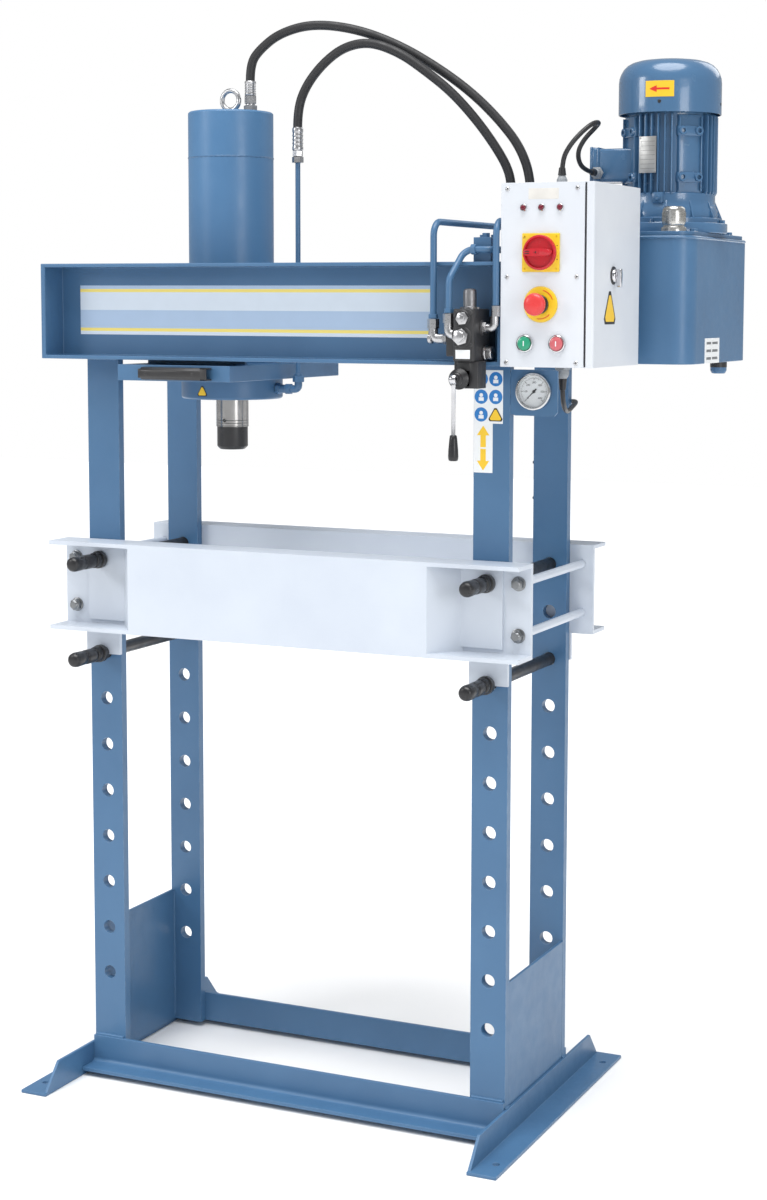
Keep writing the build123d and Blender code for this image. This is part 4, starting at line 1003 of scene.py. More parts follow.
def elbow(bm, corner, first, first_reach, second, second_reach, radius):
    """A round elbow fitting with a rolled bend, from a face to its nut."""
    first, second, corner = Vector(first), Vector(second), Vector(corner)
    bend = radius * 1.15
    centre = corner + first * bend + second * bend
    route = [corner + first * first_reach, corner + first * (bend + 0.0005)]
    route += arc_points(centre, 0, 90, bend, -second, -first, 8)[1:-1]
    route += [corner + second * (bend + 0.0005), corner + second * second_reach]
    sweep(bm, route, radius, 24)


def valve_fittings():
    bm = bmesh.new()
    pipe_y = VALVE_PIPE_Y
    elbow(bm, (0.337, pipe_y, 1.512), X, 0.029, Z, 0.019, 0.009)
    hexagon(bm, (0.358, pipe_y, 1.512), X, 0.0185, 0.008)
    hexagon(bm, (0.337, pipe_y, 1.53), Z, 0.019, 0.0175, turn=0.3)
    disc_stack(bm, (0.337, pipe_y, 1.512), -X, [(0.0095, 0.001, 0.0088)], 32, 0.0012)
    elbow(bm, (0.379, -0.266, 1.52), X, 0.014, Z, 0.021, 0.0088)
    hexagon(bm, (0.379, -0.266, 1.54), Z, 0.019, 0.0175, turn=0.2)
    elbow(bm, (0.457, pipe_y, 1.532), -X, 0.024, Z, 0.021, 0.0075)
    hexagon(bm, (0.433, pipe_y, 1.532), X, 0.0178, 0.009, turn=0.3)
    hexagon(bm, (0.459, pipe_y, 1.552), Z, 0.014, 0.0195, turn=0.1)
    front = VALVE_FRONT
    hexagon(bm, (0.409, front, 1.516), -Y, 0.0265, 0.0065, turn=0.3)
    disc_stack(bm, (0.409, front, 1.516), -Y, [(0.01, 0.006, 0.01)], 32, 0.001)
    hexagon(bm, (0.409, front, 1.516), -Y, 0.0165, 0.004, start=0.0098, turn=0.8)
    hexagon(bm, (0.412, front, 1.549), -Y, 0.021, 0.006, turn=0.1)
    hexagon(bm, (0.412, front, 1.549), -Y, 0.012, 0.0045, start=0.0062, turn=0.5)
    disc_stack(bm, (0.433, -0.228, 1.487), X, [(0.0138, 0, 0.005), (0.0118, 0.005, 0.016)], 40, 0.0012)
    piece("valve_unions", bm, ZINC, "press_frame", ["valve_fittings"])


valve_fittings()


def valve_lever():
    pivot = Vector((0.405, -0.271, 1.441))
    chrome = bmesh.new()
    sweep(chrome, [pivot + Y * 0.008, pivot - Y * 0.0225], 0.0048, 24)
    lathe(chrome, pivot + Vector((-0.0058, -0.032, 0)), X,
          mm(3, 0, 7.5, 0, 8.8, 1.8, 8.8, 9.8, 7.5, 11.6, 3, 11.6), 36, closed=True)
    grip_top, grip_bottom = 1.342, 1.296
    lathe(chrome, (pivot.x, pivot.y - 0.032, grip_top - 0.002), Z,
          mm(0, 0, 3.6, 0, 3.6, 86, 4.1, 88, 4.1, 92.5, 0, 92.5), 28)
    piece("lever_rod", chrome, CHROME, "lever", ["valve_lever"])
    dark = bmesh.new()
    lathe(dark, pivot - Y * 0.006, -Y,
          mm(5, 0, 18.8, 0, 19, 3, 16.5, 5.2, 17.8, 7.8, 15, 9.8, 16, 12.2, 12.8, 14.4, 12.8, 17, 10, 20,
             5, 20.5), 40, closed=True)
    lathe(dark, (pivot.x, pivot.y - 0.032, grip_bottom), Z,
          mm(0, 0, 6.2, 0, 8.2, 1.2, 9, 4.5, 9.3, 8, 8.8, 20, 7.2, 38, 6.2, 45, 5, 46, 0, 46), 36)
    piece("lever_boot_and_grip", dark, GRIP_BLACK, "lever", angle=50)


valve_lever()


def pipe_details():
    """The hose ends' ferrules over the bulkhead nuts, and the pipes' painted nuts."""
    bright = bmesh.new()
    for route in (HOSE_UPPER, HOSE_LOWER):
        end = Vector(route[-1])
        lathe(bright, end, Z, mm(9.4, 0.2, 10.8, 0.2, 11.2, 1.2, 11.2, 5, 10.2, 6.4, 11.2, 8, 11.2, 13,
                                 10.2, 14.4, 11.2, 16, 11.2, 21, 10.2, 22.4, 11.2, 24, 11.2, 30, 9.8, 32,
                                 9.2, 32), 36)
    piece("frame_ferrules", bright, ZINC, "press_frame")
    nuts = bmesh.new()
    hexagon(nuts, (0.404, -0.224, 1.672), X, 0.0165, 0.01, turn=0.2)
    hexagon(nuts, (0.337, -0.24, 1.5482), Z, 0.015, 0.008, turn=0.5)
    hexagon(nuts, (0.379, -0.266, 1.5582), Z, 0.015, 0.008, turn=0.2)
    hexagon(nuts, (0.424, -0.178, 1.673), Y, 0.017, 0.011, turn=0.2)
    for y in (0.096, 0.14):
        hexagon(nuts, (0.468, y, 1.672 if y < 0.1 else 1.673), X, 0.019, 0.012, turn=0.3)
    for x in (0.41, 0.432):
        hexagon(nuts, (x, -0.187, 1.694), Z, 0.009, 0.005)
    piece("pipe_nuts", nuts, BLUE_PAINT, "press_frame")


pipe_details()


# ---------------------------------------------------------------- gauge
GAUGE = Vector((0.504, 0, 1.4165))
DIAL_START = 225
DIAL_SWEEP = 270


def gauge():
    bracket = bmesh.new()
    plate_low = Vector((0.456, -0.16, 1.372))
    plate_high = Vector((0.548, -0.156, 1.456))
    hole = 0.0315
    count = 40
    rim, edge = [], []
    for angle in turns(count, 0.5):
        way = on_face(angle)[0]
        rim.append(GAUGE + way * hole)
        reach = min(
            (bound - start) / part for bound, start, part in (
                (plate_high.x if way.x > 0 else plate_low.x, GAUGE.x, way.x),
                (plate_high.z if way.z > 0 else plate_low.z, GAUGE.z, way.z),
            ) if abs(part) > 1e-6
        )
        edge.append(GAUGE + way * reach)
    for y in (plate_low.y, plate_high.y):
        near = [bracket.verts.new((p.x, y, p.z)) for p in rim]
        far = [bracket.verts.new((p.x, y, p.z)) for p in edge]
        for step in range(count):
            following = (step + 1) % count
            bracket.faces.new([near[step], near[following], far[following], far[step]])
    bracket.verts.ensure_lookup_table()
    size = count * 2
    for step in range(count):
        following = (step + 1) % count
        for shift in (0, count):
            bracket.faces.new([bracket.verts[shift + step], bracket.verts[shift + following],
                               bracket.verts[size + shift + following], bracket.verts[size + shift + step]])
    piece("gauge_bracket", bracket, BLUE_PAINT, "press_frame")
    case = bmesh.new()
    lathe(case, (GAUGE.x, 0, GAUGE.z), Y,
          mm(0, -136, 29, -136, 30.5, -138, 30.5, -159.5, 33.5, -159.5, 34, -161, 34, -171, 33.2, -172.4,
             31.5, -173, 29.8, -172.8, 29.2, -170.5, 29, -164, 0, -164), 72)
    disc_stack(case, (GAUGE.x, -0.136, GAUGE.z), Y, [(0.008, 0, 0.018)], 28)
    hexagon(case, (GAUGE.x, -0.134, GAUGE.z), Y, 0.014, 0.008)
    piece("gauge_case_piece", case, metal("gauge case steel", (0.66, 0.67, 0.68), (0.12, 0.22)),
          "press_frame", ["gauge_case"])
    dial = bmesh.new()
    face_y = -0.1643
    disc_stack(dial, (GAUGE.x, face_y, GAUGE.z), -Y, [(0.0288, 0, 0.0004)], 64, 0.0001)
    piece("gauge_dial", dial, WHITE_INK, "press_frame")
    marks = bmesh.new()
    ticks = 60
    for step in range(ticks + 1):
        way, side = on_face(math.radians(DIAL_START - DIAL_SWEEP * step / ticks))
        inner = 0.0205 if step % 10 == 0 else (0.0225 if step % 5 == 0 else 0.0238)
        wide = 0.00042 if step % 10 == 0 else 0.0002
        base = Vector((GAUGE.x, face_y - 0.0004, GAUGE.z))
        strip(marks, base, way, inner, 0.0258, side, wide, (0, -0.0002, 0))
    piece("gauge_marks", marks, BLACK_INK, "press_frame")
    for step in range(7):
        angle = math.radians(DIAL_START - DIAL_SWEEP * step / 6)
        data = bpy.data.curves.new(f"gauge_number_{step}", "FONT")
        data.body = str(100 * step)
        data.size = 0.0052
        data.align_x, data.align_y = "CENTER", "CENTER"
        data.extrude = 0.0001
        data.materials.append(BLACK_INK)
        number = link(bpy.data.objects.new(f"gauge_number_{step}", data))
        spot = Vector((GAUGE.x + 0.0165 * math.cos(angle), face_y - 0.0005,
                       GAUGE.z + 0.0165 * math.sin(angle)))
        number.matrix_world = Matrix.Translation(spot) @ Matrix.Rotation(math.pi / 2, 4, "X")
        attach(number, "press_frame")
    needle = bmesh.new()
    way, side = on_face(math.radians(DIAL_START))
    base = Vector((GAUGE.x, -0.1652, GAUGE.z))
    prism(needle, [base - way * 0.0068 - side * 0.0014, base - way * 0.0068 + side * 0.0014,
                   base + way * 0.006 + side * 0.0009, base + way * 0.0228 + side * 0.0001,
                   base + way * 0.0228 - side * 0.0001, base + way * 0.006 - side * 0.0009], (0, -0.0005, 0))
    disc_stack(needle, (GAUGE.x, -0.1648, GAUGE.z), -Y, [(0.003, 0, 0.0018)], 28)
    piece("gauge_needle_piece", needle, BLACK_INK, "needle", ["gauge_needle"])


gauge()


# ---------------------------------------------------------------- control box
PANEL_FACE = -0.24
PANEL_MIDDLE = 0.545
PANEL_RIGHT = 0.626


def triangle_sign(name, centre, normal, across_way, up, size, body, stretch=1.0):
    """A yellow triangle with a dark rim, and no picture on it."""
    centre, across_way, up, normal = Vector(centre), Vector(across_way), Vector(up), Vector(normal)
    bm = bmesh.new()
    for scale, lift, slot in ((1.0, 0.0, 0), (0.8, 0.00035, 1)):
        points = []
        for corner in range(3):
            for ease in (-9, 9):
                angle = math.radians(90 + 120 * corner + ease)
                points.append(centre + normal * lift + (
                    across_way * math.cos(angle) + up * math.sin(angle) * stretch) * size * scale)
        prism(bm, points, normal * 0.0004, slot=slot)
    piece(name, bm, [BLACK_INK, YELLOW_INK], body)


def box_details():
    low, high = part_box("enclosure")
    door_low, door_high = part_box("enclosure_door")
    face = low.y
    seal = bmesh.new()
    for y0, y1, z0, z1 in (
        (low.y + 0.008, low.y + 0.012, low.z + 0.006, high.z - 0.006),
        (high.y - 0.012, high.y - 0.008, low.z + 0.006, high.z - 0.006),
        (low.y + 0.008, high.y - 0.008, low.z + 0.006, low.z + 0.01),
        (low.y + 0.008, high.y - 0.008, high.z - 0.01, high.z - 0.006),
    ):
        brick(seal, (PANEL_RIGHT + 0.0022, y0, z0), (door_low.x, y1, z1), 0.0004)
    piece("door_seal", seal, SEAL, "press_frame")
    screws = bmesh.new()
    for x in (low.x + 0.012, PANEL_RIGHT - 0.014):
        for z in (low.z + 0.008, (low.z + high.z) / 2 - 0.003, high.z - 0.011):
            spot = Vector((x, face, z))
            lathe(screws, spot, -Y, mm(0, -0.5, 4, -0.5, 4, 0.6, 3.2, 1.6, 1.2, 2.1, 0, 2.1), 24)
            for way, other in ((X, Z), (Z, X)):
                strip(screws, spot - Y * 0.00215, other, -0.0004, 0.0004, way, 0.0024, (0, -0.0001, 0),
                      slot=1)
    piece("panel_screws", screws, [ZINC, BLACK_INK], "press_frame")
    hinges = bmesh.new()
    for z in (1.53, 1.71):
        lathe(hinges, (0.631, 0.012, z - 0.02), Z, mm(0, 0, 3.4, 0, 4, 0.6, 4, 19.8, 0, 19.8), 24)
        brick(hinges, (0.612, high.y, z - 0.02), (0.629, high.y + 0.004, z - 0.0005), 0.0005)
        for hole_z in (z - 0.015, z - 0.006):
            lathe(hinges, (0.618, high.y + 0.004, hole_z), Y, mm(0, 0, 2.2, 0, 1.8, 0.9, 0, 1.1), 16)
    piece("hinge_leaves", hinges, ZINC, "press_frame")
    contactors = bmesh.new()
    for x in (0.5, 0.556):
        back = high.y - 0.002
        brick(contactors, (x, back - 0.06, 1.58), (x + 0.045, back, 1.66), 0.0015)
        brick(contactors, (x + 0.004, back - 0.0655, 1.6), (x + 0.041, back - 0.058, 1.64), 0.001)
        for step in range(3):
            lathe(contactors, (x + 0.009 + 0.0135 * step, back - 0.06, 1.652), -Y,
                  mm(0, 0, 3.6, 0, 3.6, 1.5, 0, 1.5), 16, slot=1)
    piece("contactors", contactors, [PLUG_BLACK, ZINC], "press_frame")
    label = bmesh.new()
    brick(label, (0.52, face - 0.0003, 1.7585), (0.577, face + 0.0001, 1.7775), 0.00016, 1)
    pale = plastic("pale label", (0.74, 0.72, 0.68), (0.3, 0.4), 0.00002)
    piece("panel_label", label, pale, "press_frame")
    triangle_sign("door_sign", (door_high.x - 0.0001, -0.155, 1.562), X, Y, Z, 0.033, "door", 1.1)
    filler = bmesh.new()
    brick(filler, (door_low.x + 0.001, door_low.y - 0.0001, door_low.z + 0.004),
          (door_low.x + 0.0022, door_low.y + 0.01, door_high.z - 0.004), 0.0003)
    piece("door_shadow_lip", filler, SEAL, "door")


box_details()


def main_switch():
    x, z, face = PANEL_MIDDLE, 1.665, PANEL_FACE
    bm = bmesh.new()
    brick(bm, (x - 0.0355, face - 0.0038, z - 0.034), (x + 0.0355, face, z + 0.034), 0.0018, 3)
    lathe(bm, (x, face - 0.0036, z), -Y, mm(0, 0, 32.5, 0, 32.5, 0.8, 31.8, 1.3, 0, 1.3), 56)
    for sx in (-0.03, 0.03):
        for sz in (-0.0285, 0.0285):
            lathe(bm, (x + sx, face - 0.0036, z + sz), -Y, mm(0, 0, 2.2, 0, 2.2, 0.6, 1, 0.6, 1, 0.2, 0, 0.2),
                  16)
    piece("switch_plate", bm, YELLOW, "press_frame", ["panel_fittings"])
    knob = bmesh.new()
    lathe(knob, (x, face - 0.0052, z), -Y,
          mm(0, 0, 30.5, 0, 31, 0.6, 31, 5.2, 30, 7.4, 27.2, 7.8, 26.2, 6.6, 25.4, 3, 0, 3), 64)
    outline = []
    for angle in turns(20):
        blunt = 0.0072 - 0.0018 * abs(math.cos(angle))
        outline.append(Vector((x + 0.0262 * math.copysign(abs(math.cos(angle)) ** 0.5, math.cos(angle)),
                               face - 0.008, z + blunt * math.copysign(abs(math.sin(angle)) ** 0.5,
                                                                       math.sin(angle)))))
    prism(knob, outline, (0, -0.015, 0), 0.002)
    lathe(knob, (x, face - 0.022, z), -Y, mm(3, 1.6, 4.2, 1.6, 4.2, 2, 3, 2), 24,
          closed=True)
    disc_stack(knob, (x, face, z), Y, [(0.0055, -0.006, 0.012)], 24)
    for angle in turns(28):
        way, side = on_face(angle)
        base = Vector((x, face - 0.0062, z))
        strip(knob, base, way, 0.0302, 0.03095, side, 0.0011, (0, -0.0028, 0), far_half=0.0008)
    piece("switch_knob_piece", knob, RED, "switch", ["switch_knob"])
    marks = bmesh.new()
    for low_z, high_z in ((z - 0.0026, z - 0.0012), (z + 0.0012, z + 0.0026)):
        brick(marks, (x - 0.0225, face - 0.0234, low_z), (x - 0.014, face - 0.0229, high_z), 0.0001)
    disc_stack(marks, (x - 0.003, face, z), -Y, [(0.0022, 0.0229, 0.0234)], 20, 0.0001)
    piece("switch_mark", marks, [BLACK_INK], "switch")
    ticks = bmesh.new()
    for sx, sz in ((-0.031, 0.026), (0.0305, 0.012), (0.0305, 0.006), (0.0305, -0.006), (0.0305, -0.012)):
        brick(ticks, (x + sx - 0.002, face - 0.004, z + sz - 0.0006),
              (x + sx + 0.002, face - 0.0038, z + sz + 0.0006))
    piece("switch_ticks", ticks, BLACK_INK, "press_frame")


def emergency_stop():
    x, z, face = PANEL_MIDDLE, 1.574, PANEL_FACE
    ring = turned((x, face, z), -Y, mm(11.6, 0, 31.2, 0, 32, 0.6, 32, 2, 30, 4.6, 23, 5.9, 18, 6, 11.6, 6),
                  64, closed=True)
    piece("stop_ring", ring, YELLOW, "press_frame")
    arrows = bmesh.new()
    for step in range(3):
        start = 20 + 120 * step
        inner, outer = [], []
        for part in range(9):
            way = on_face(math.radians(start + part * 7))[0]
            inner.append(Vector((x, face - 0.0056, z)) + way * 0.025)
            outer.append(Vector((x, face - 0.0056, z)) + way * 0.0262)
        prism(arrows, inner + list(reversed(outer)), (0, -0.0006, 0))
    piece("stop_ring_marks", arrows, RED_INK, "press_frame")
    collar = turned((x, face, z), -Y, mm(11.2, 5.5, 17, 5.5, 17, 10, 15, 11.5, 11.2, 11.5),
          48, closed=True)
    piece("stop_collar", collar, PLUG_BLACK, "press_frame")
    head = turned((x, face, z), -Y,
                  mm(0, -14, 9.8, -14, 10, 24, 16.5, 24.2, 19.2, 26.2, 20, 29, 20, 31.5, 18.8, 35, 16, 37.8,
                     11, 39.2, 5, 39.8, 0, 40), 56)
    piece("stop_mushroom", head, CORAL, "emergency_stop", ["estop_button"], angle=50)


def push_buttons():
    face = PANEL_FACE
    for name, x, colour, slot_name in (("start", 0.516, GREEN, "start_green"),
                                       ("stop", 0.577, PINK, "stop_red")):
        z = 1.505
        bezel = turned((x, face, z), -Y,
                       mm(12.3, 0, 15.2, 0, 16, 0.8, 16, 3, 15.2, 5.2, 13.8, 6, 12.6, 5.6, 12.3, 5), 56,
                       closed=True)
        piece(f"{name}_bezel", bezel, metal(f"{name} bezel chrome", (0.72, 0.72, 0.73), (0.1, 0.18)),
              "press_frame")
        cap = turned((x, face, z), -Y,
                     mm(0, -10, 7.8, -10, 8, 4, 11.5, 4.4, 12, 5, 12, 7.8, 11.3, 8.6, 6, 8.9, 0, 9), 48)
        piece(f"{name}_cap", cap, colour, name, [f"{name}_button"], angle=50)
        mark = bmesh.new()
        brick(mark, (x - 0.001, face - 0.00925, z - 0.0045), (x + 0.001, face - 0.00895, z + 0.0045), 0.0001)
        piece(f"{name}_mark", mark, WHITE_INK, name)


def lamps():
    face, z = PANEL_FACE, 1.744
    bezels, lenses = bmesh.new(), bmesh.new()
    for x in (0.511, PANEL_MIDDLE, 0.58):
        lathe(bezels, (x, face, z), -Y, mm(4.6, 0, 6, 0, 6.5, 0.5, 6.5, 2.2, 5.8, 3, 4.6, 3),
            36, closed=True)
        lathe(lenses, (x, face, z), -Y, mm(0, 0.5, 4.8, 0.5, 5, 3, 4.7, 5, 3.6, 6.3, 1.8, 6.9, 0, 7), 32)
    piece("lamp_bezels", bezels, CHROME, "press_frame")
    piece("lamp_lenses", lenses, LAMP_RED, "press_frame", angle=60)


def door_lock():
    """A swing-handle latch: a round boss with a winged grip across it."""
    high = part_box("door_lock")[1]
    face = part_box("enclosure_door")[1].x
    y, z = -0.138, 1.626
    bm = bmesh.new()
    lathe(bm, (face, y, z), X, mm(0, -12, 11.8, -12, 12, 0.8, 11.8, 5.2, 10.6, 6.8, 0, 7), 48)
    outline = [
        (y - 0.0046, z + 0.011), (y - 0.003, z + 0.012), (y + 0.003, z + 0.012), (y + 0.0046, z + 0.011),
        (y + 0.0048, z - 0.002), (y + 0.0036, z - 0.019), (y + 0.0012, z - 0.021), (y - 0.0012, z - 0.021),
        (y - 0.0036, z - 0.019), (y - 0.0048, z - 0.002),
    ]
    prism(bm, [(face + 0.007, a, b) for a, b in outline], (high.x - face - 0.007, 0, 0), 0.0012)
    brick(bm, (face - 0.012, y - 0.0058, z - 0.024), (face - 0.0092, y + 0.0058, z + 0.006), 0.0006)
    piece("door_latch", bm, CHROME, "lock", ["door_lock"])
    rose = turned((face, y, z), X, mm(12.2, -0.5, 16, -0.5, 16.4, 0.4, 15.8, 1.6, 12.2, 2),
          48, closed=True)
    piece("latch_rose", rose, PLUG_BLACK, "door")


main_switch()
emergency_stop()
push_buttons()
lamps()
door_lock()


# ---------------------------------------------------------------- power unit
MOTOR = Vector((0.628, 0.226, 0))
LID_TOP = 1.711
MOTOR_BASE = 1.776
MOTOR_HEAD = 1.94


def fin(bm, angle, inner, outer, low, high, thick):
    """One cooling fin, tapered and eased at its ends."""
    way, side = in_plan(angle)
    outline = []
    for radius, z in ((inner, low), (outer - 0.003, low), (outer, low + 0.006), (outer, high - 0.004),
                      (outer - 0.002, high), (inner, high)):
        outline.append(MOTOR + way * radius + Z * z)
    prism(bm, [point - side * thick / 2 for point in outline], side * thick, 0.0005)


PADS = (45, 135, 225, 315)
FINS = 44
FIN_TIP = 0.0932


def foot_pad(bm, degrees, core):
    """A foot pad cast on the motor: a flat strip and two rows of drilled bosses."""
    way, side = in_plan(math.radians(degrees))
    base = MOTOR + way * (core - 0.014)
    strip(bm, base, Z, 1.786, 1.934, side, 0.0245, way * 0.016, 0.0015)
    for z in (1.9035, 1.816):
        strip(bm, base, Z, z - 0.01, z + 0.01, side, 0.0262, way * 0.0195, 0.0022)
        for offset in (-0.0172, 0.0172):
            spot = MOTOR + way * (core - 0.004) + side * offset + Z * z
            lathe(bm, spot, way, mm(0, 0, 8.6, 0, 8.4, 12.5, 7.6, 14.2, 4.4, 14.2, 4, 6, 0, 6), 28)
    for offset in (-0.0232, 0.0232):
        edge = MOTOR + way * (core - 0.01) + side * offset
        strip(bm, edge, Z, 1.79, 1.93, side, 0.0012, way * 0.0165, 0.0005)


def motor_housing():
    bm = bmesh.new()
    core = 0.082
    lathe(bm, MOTOR, Z, [(0.07, MOTOR_BASE + 0.002), (core, MOTOR_BASE + 0.002), (core, MOTOR_HEAD),
                         (0.07, MOTOR_HEAD)], 96)
    for step in range(FINS):
        degrees = 360 * (step + 0.5) / FINS
        if 158 < degrees < 240 or any(abs(degrees - pad) < 17 for pad in PADS):
            continue
        fin(bm, math.radians(degrees), core - 0.002, FIN_TIP, MOTOR_BASE + 0.008, MOTOR_HEAD - 0.004, 0.0026)
    for pad in PADS:
        foot_pad(bm, pad, core)
    lathe(bm, MOTOR, Z, [
        (0.06, LID_TOP), (0.113, LID_TOP), (0.114, LID_TOP + 0.001), (0.114, LID_TOP + 0.0175),
        (0.113, LID_TOP + 0.0188), (0.1048, LID_TOP + 0.0192), (0.104, LID_TOP + 0.02),
        (0.104, LID_TOP + 0.028), (0.103, LID_TOP + 0.0288), (0.096, LID_TOP + 0.03),
        (0.0955, LID_TOP + 0.044), (0.092, LID_TOP + 0.05), (0.0895, MOTOR_BASE - 0.004),
        (0.0895, MOTOR_BASE + 0.0098), (0.088, MOTOR_BASE + 0.011), (0.08, MOTOR_BASE + 0.011),
    ], 120)
    for step in range(12):
        way, side = in_plan(math.radians(15 + 30 * step))
        base = MOTOR + way * 0.088 + Z * (LID_TOP + 0.029)
        prism(bm, [base - side * 0.0018, base - side * 0.0018 + way * 0.0155,
                   base - side * 0.0018 + Z * 0.036],
              side * 0.0036, 0.0006)
    for step in range(4):
        angle = math.radians(90 * step)
        spot = MOTOR + in_plan(angle)[0] * 0.108 + Z * (LID_TOP + 0.0188)
        hexagon(bm, spot, Z, 0.01, 0.0065, turn=angle)
    low_lug = MOTOR + in_plan(math.radians(-85))[0] * 0.0885 + Z * 1.777
    brick(bm, low_lug - Vector((0.011, 0.006, 0.0105)), low_lug + Vector((0.011, 0.01, 0.0105)), 0.003)
    lathe(bm, low_lug - Y * 0.0058, -Y, mm(0, 0, 5.6, 0, 5, 3, 2, 3.4, 0, 1.8), 24)
    piece("motor_frame", bm, BLUE_MOTOR, "press_frame", ["motor_housing"])
    low_x, high_x, low_y, high_y, low_z, high_z = 0.488, 0.575, 0.16, 0.24, 1.806, 1.878
    box = bmesh.new()
    brick(box, (low_x + 0.002, low_y + 0.002, low_z + 0.002), (low_x + 0.016, high_y - 0.002, high_z - 0.002),
          0.005, 3)
    brick(box, (low_x, low_y, low_z), (low_x + 0.006, high_y, high_z), 0.0028, 3)
    brick(box, (low_x + 0.012, low_y + 0.004, low_z + 0.004), (high_x, high_y - 0.004, high_z - 0.004), 0.006,
          3)
    brick(box, (low_x + 0.0145, low_y + 0.0015, low_z + 0.0015),
          (low_x + 0.0185, high_y - 0.0015, high_z - 0.0015), 0.0012)
    for y in (low_y + 0.009, high_y - 0.009):
        for z in (low_z + 0.009, high_z - 0.009):
            lathe(box, (low_x + 0.0005, y, z), -X, mm(0, 0, 3.8, 0, 3.6, 0.3, 1.4, 0.4, 0, 0.4), 20)
    piece("terminal_box", box, BLUE_MOTOR, "press_frame")
    coils = turned(MOTOR, Z, mm(49, 1812, 68, 1812, 68, 1904, 49, 1904), 64, closed=True)
    piece("stator_ring", coils, GROUND_STEEL, "press_frame")


def rating_plate():
    """A plain plate with four rivets and ruled lines, and no words."""
    way, side = in_plan(math.radians(262))
    base = MOTOR + way * 0.0936 + Z * 1.858
    bm = bmesh.new()
    half_w, half_h = 0.018, 0.0345
    strip(bm, base, Z, -half_h, half_h, side, half_w, way * 0.0008, 0.0003)
    for row in range(7):
        z = -0.026 + row * 0.0085
        strip(bm, base + way * 0.0008, Z, z - 0.00022, z + 0.00022, side, 0.015, way * 0.0001, slot=1)
    for a in (-0.0152, 0.0152):
        for b in (-0.0315, 0.0315):
            spot = base + side * a + Z * b + way * 0.0008
            lathe(bm, spot, way, mm(0, 0, 1.6, 0, 1.2, 0.7, 0, 0.9), 16)
    piece("rating_plate", bm, [PLATE_METAL, BLACK_INK], "press_frame")


def fan_cowl():
    low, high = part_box("fan_cowl")
    bm = bmesh.new()
    outer = (high.x - low.x) / 2
    wall = 0.002
    top = high.z
    profile = [(outer, low.z), (outer, top - 0.044), (outer - 0.001, top - 0.035),
               (outer - 0.004, top - 0.0262), (outer - 0.009, top - 0.0175), (outer - 0.016, top - 0.0105),
               (outer - 0.025, top - 0.0055), (outer - 0.037, top - 0.002), (outer - 0.05, top - 0.0004)]
    inner = [(radius - wall, min(z, top - wall)) for radius, z in profile]
    lathe(bm, MOTOR, Z, [(0.047, top - wall), *reversed(inner), *profile, (0.047, top)], 120, closed=True)
    for ring in range(4):
        radius = 0.0125 + ring * 0.011
        lathe(bm, MOTOR, Z, [
            (radius - 0.0014, top - 0.0022), (radius + 0.0014, top - 0.0022), (radius + 0.0014, top - 0.0002),
            (radius - 0.0014, top - 0.0002)], 96, closed=True)
    for angle in turns(8):
        way, side = in_plan(angle)
        strip(bm, MOTOR + Z * (top - 0.002), way, 0.004, 0.0478, side, 0.0014, (0, 0, 0.0014))
    disc_stack(bm, MOTOR, Z, [(0.0075, top - 0.0022, top - 0.0003)], 40)
    piece("fan_hood", bm, BLUE_MOTOR, "press_frame", ["fan_cowl"], angle=50)
    screws = bmesh.new()
    for degrees in (-84, 6, 96, 186):
        way = in_plan(math.radians(degrees))[0]
        lathe(screws, MOTOR + way * (outer - 0.0003) + Z * 1.957, way,
              mm(0, -1, 3.6, -1, 3.6, 0.4, 3, 1, 1.2, 1.2, 0, 1.2), 20)
    piece("hood_screws", screws, BLACK_STEEL, "press_frame")


def curved_patch(bm, start, end, low, high, radius, slot=0, steps=10, thick=0.00035):
    """A thin sticker that follows the hood's round side, between two angles in degrees."""
    rows = []
    for step in range(steps + 1):
        way = in_plan(math.radians(start + (end - start) * step / steps))[0]
        rows.append([bm.verts.new(MOTOR + way * reach + Z * z)
                     for reach, z in ((radius, low), (radius + thick, low), (radius + thick, high),
                                      (radius, high))])
    for near, far in zip(rows, rows[1:]):
        for k in range(4):
            bm.faces.new([near[k], far[k], far[(k + 1) % 4], near[(k + 1) % 4]]).material_index = slot
    bm.faces.new(rows[0]).material_index = slot
    bm.faces.new(list(reversed(rows[-1]))).material_index = slot


def turning_arrow():
    """The sticker that shows which way the motor turns: a plain arrow."""
    bm = bmesh.new()
    cowl_low, cowl_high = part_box("fan_cowl")
    radius = (cowl_high.x - cowl_low.x) / 2 + 0.0001
    middle_z = 1.9805
    curved_patch(bm, -100, -68, middle_z - 0.015, middle_z + 0.015, radius)
    top = radius + 0.00035
    curved_patch(bm, -88, -73, middle_z - 0.0019, middle_z + 0.0019, top, 1, 6, 0.0001)
    for step in range(8):
        share = step / 8
        half = 0.001 + 0.0058 * share
        curved_patch(bm, -95 + share * 8, -94 + share * 8, middle_z - half, middle_z + half, top, 1, 1,
                     0.0001)
    piece("turning_arrow", bm, [YELLOW_INK, RED_INK], "press_frame")


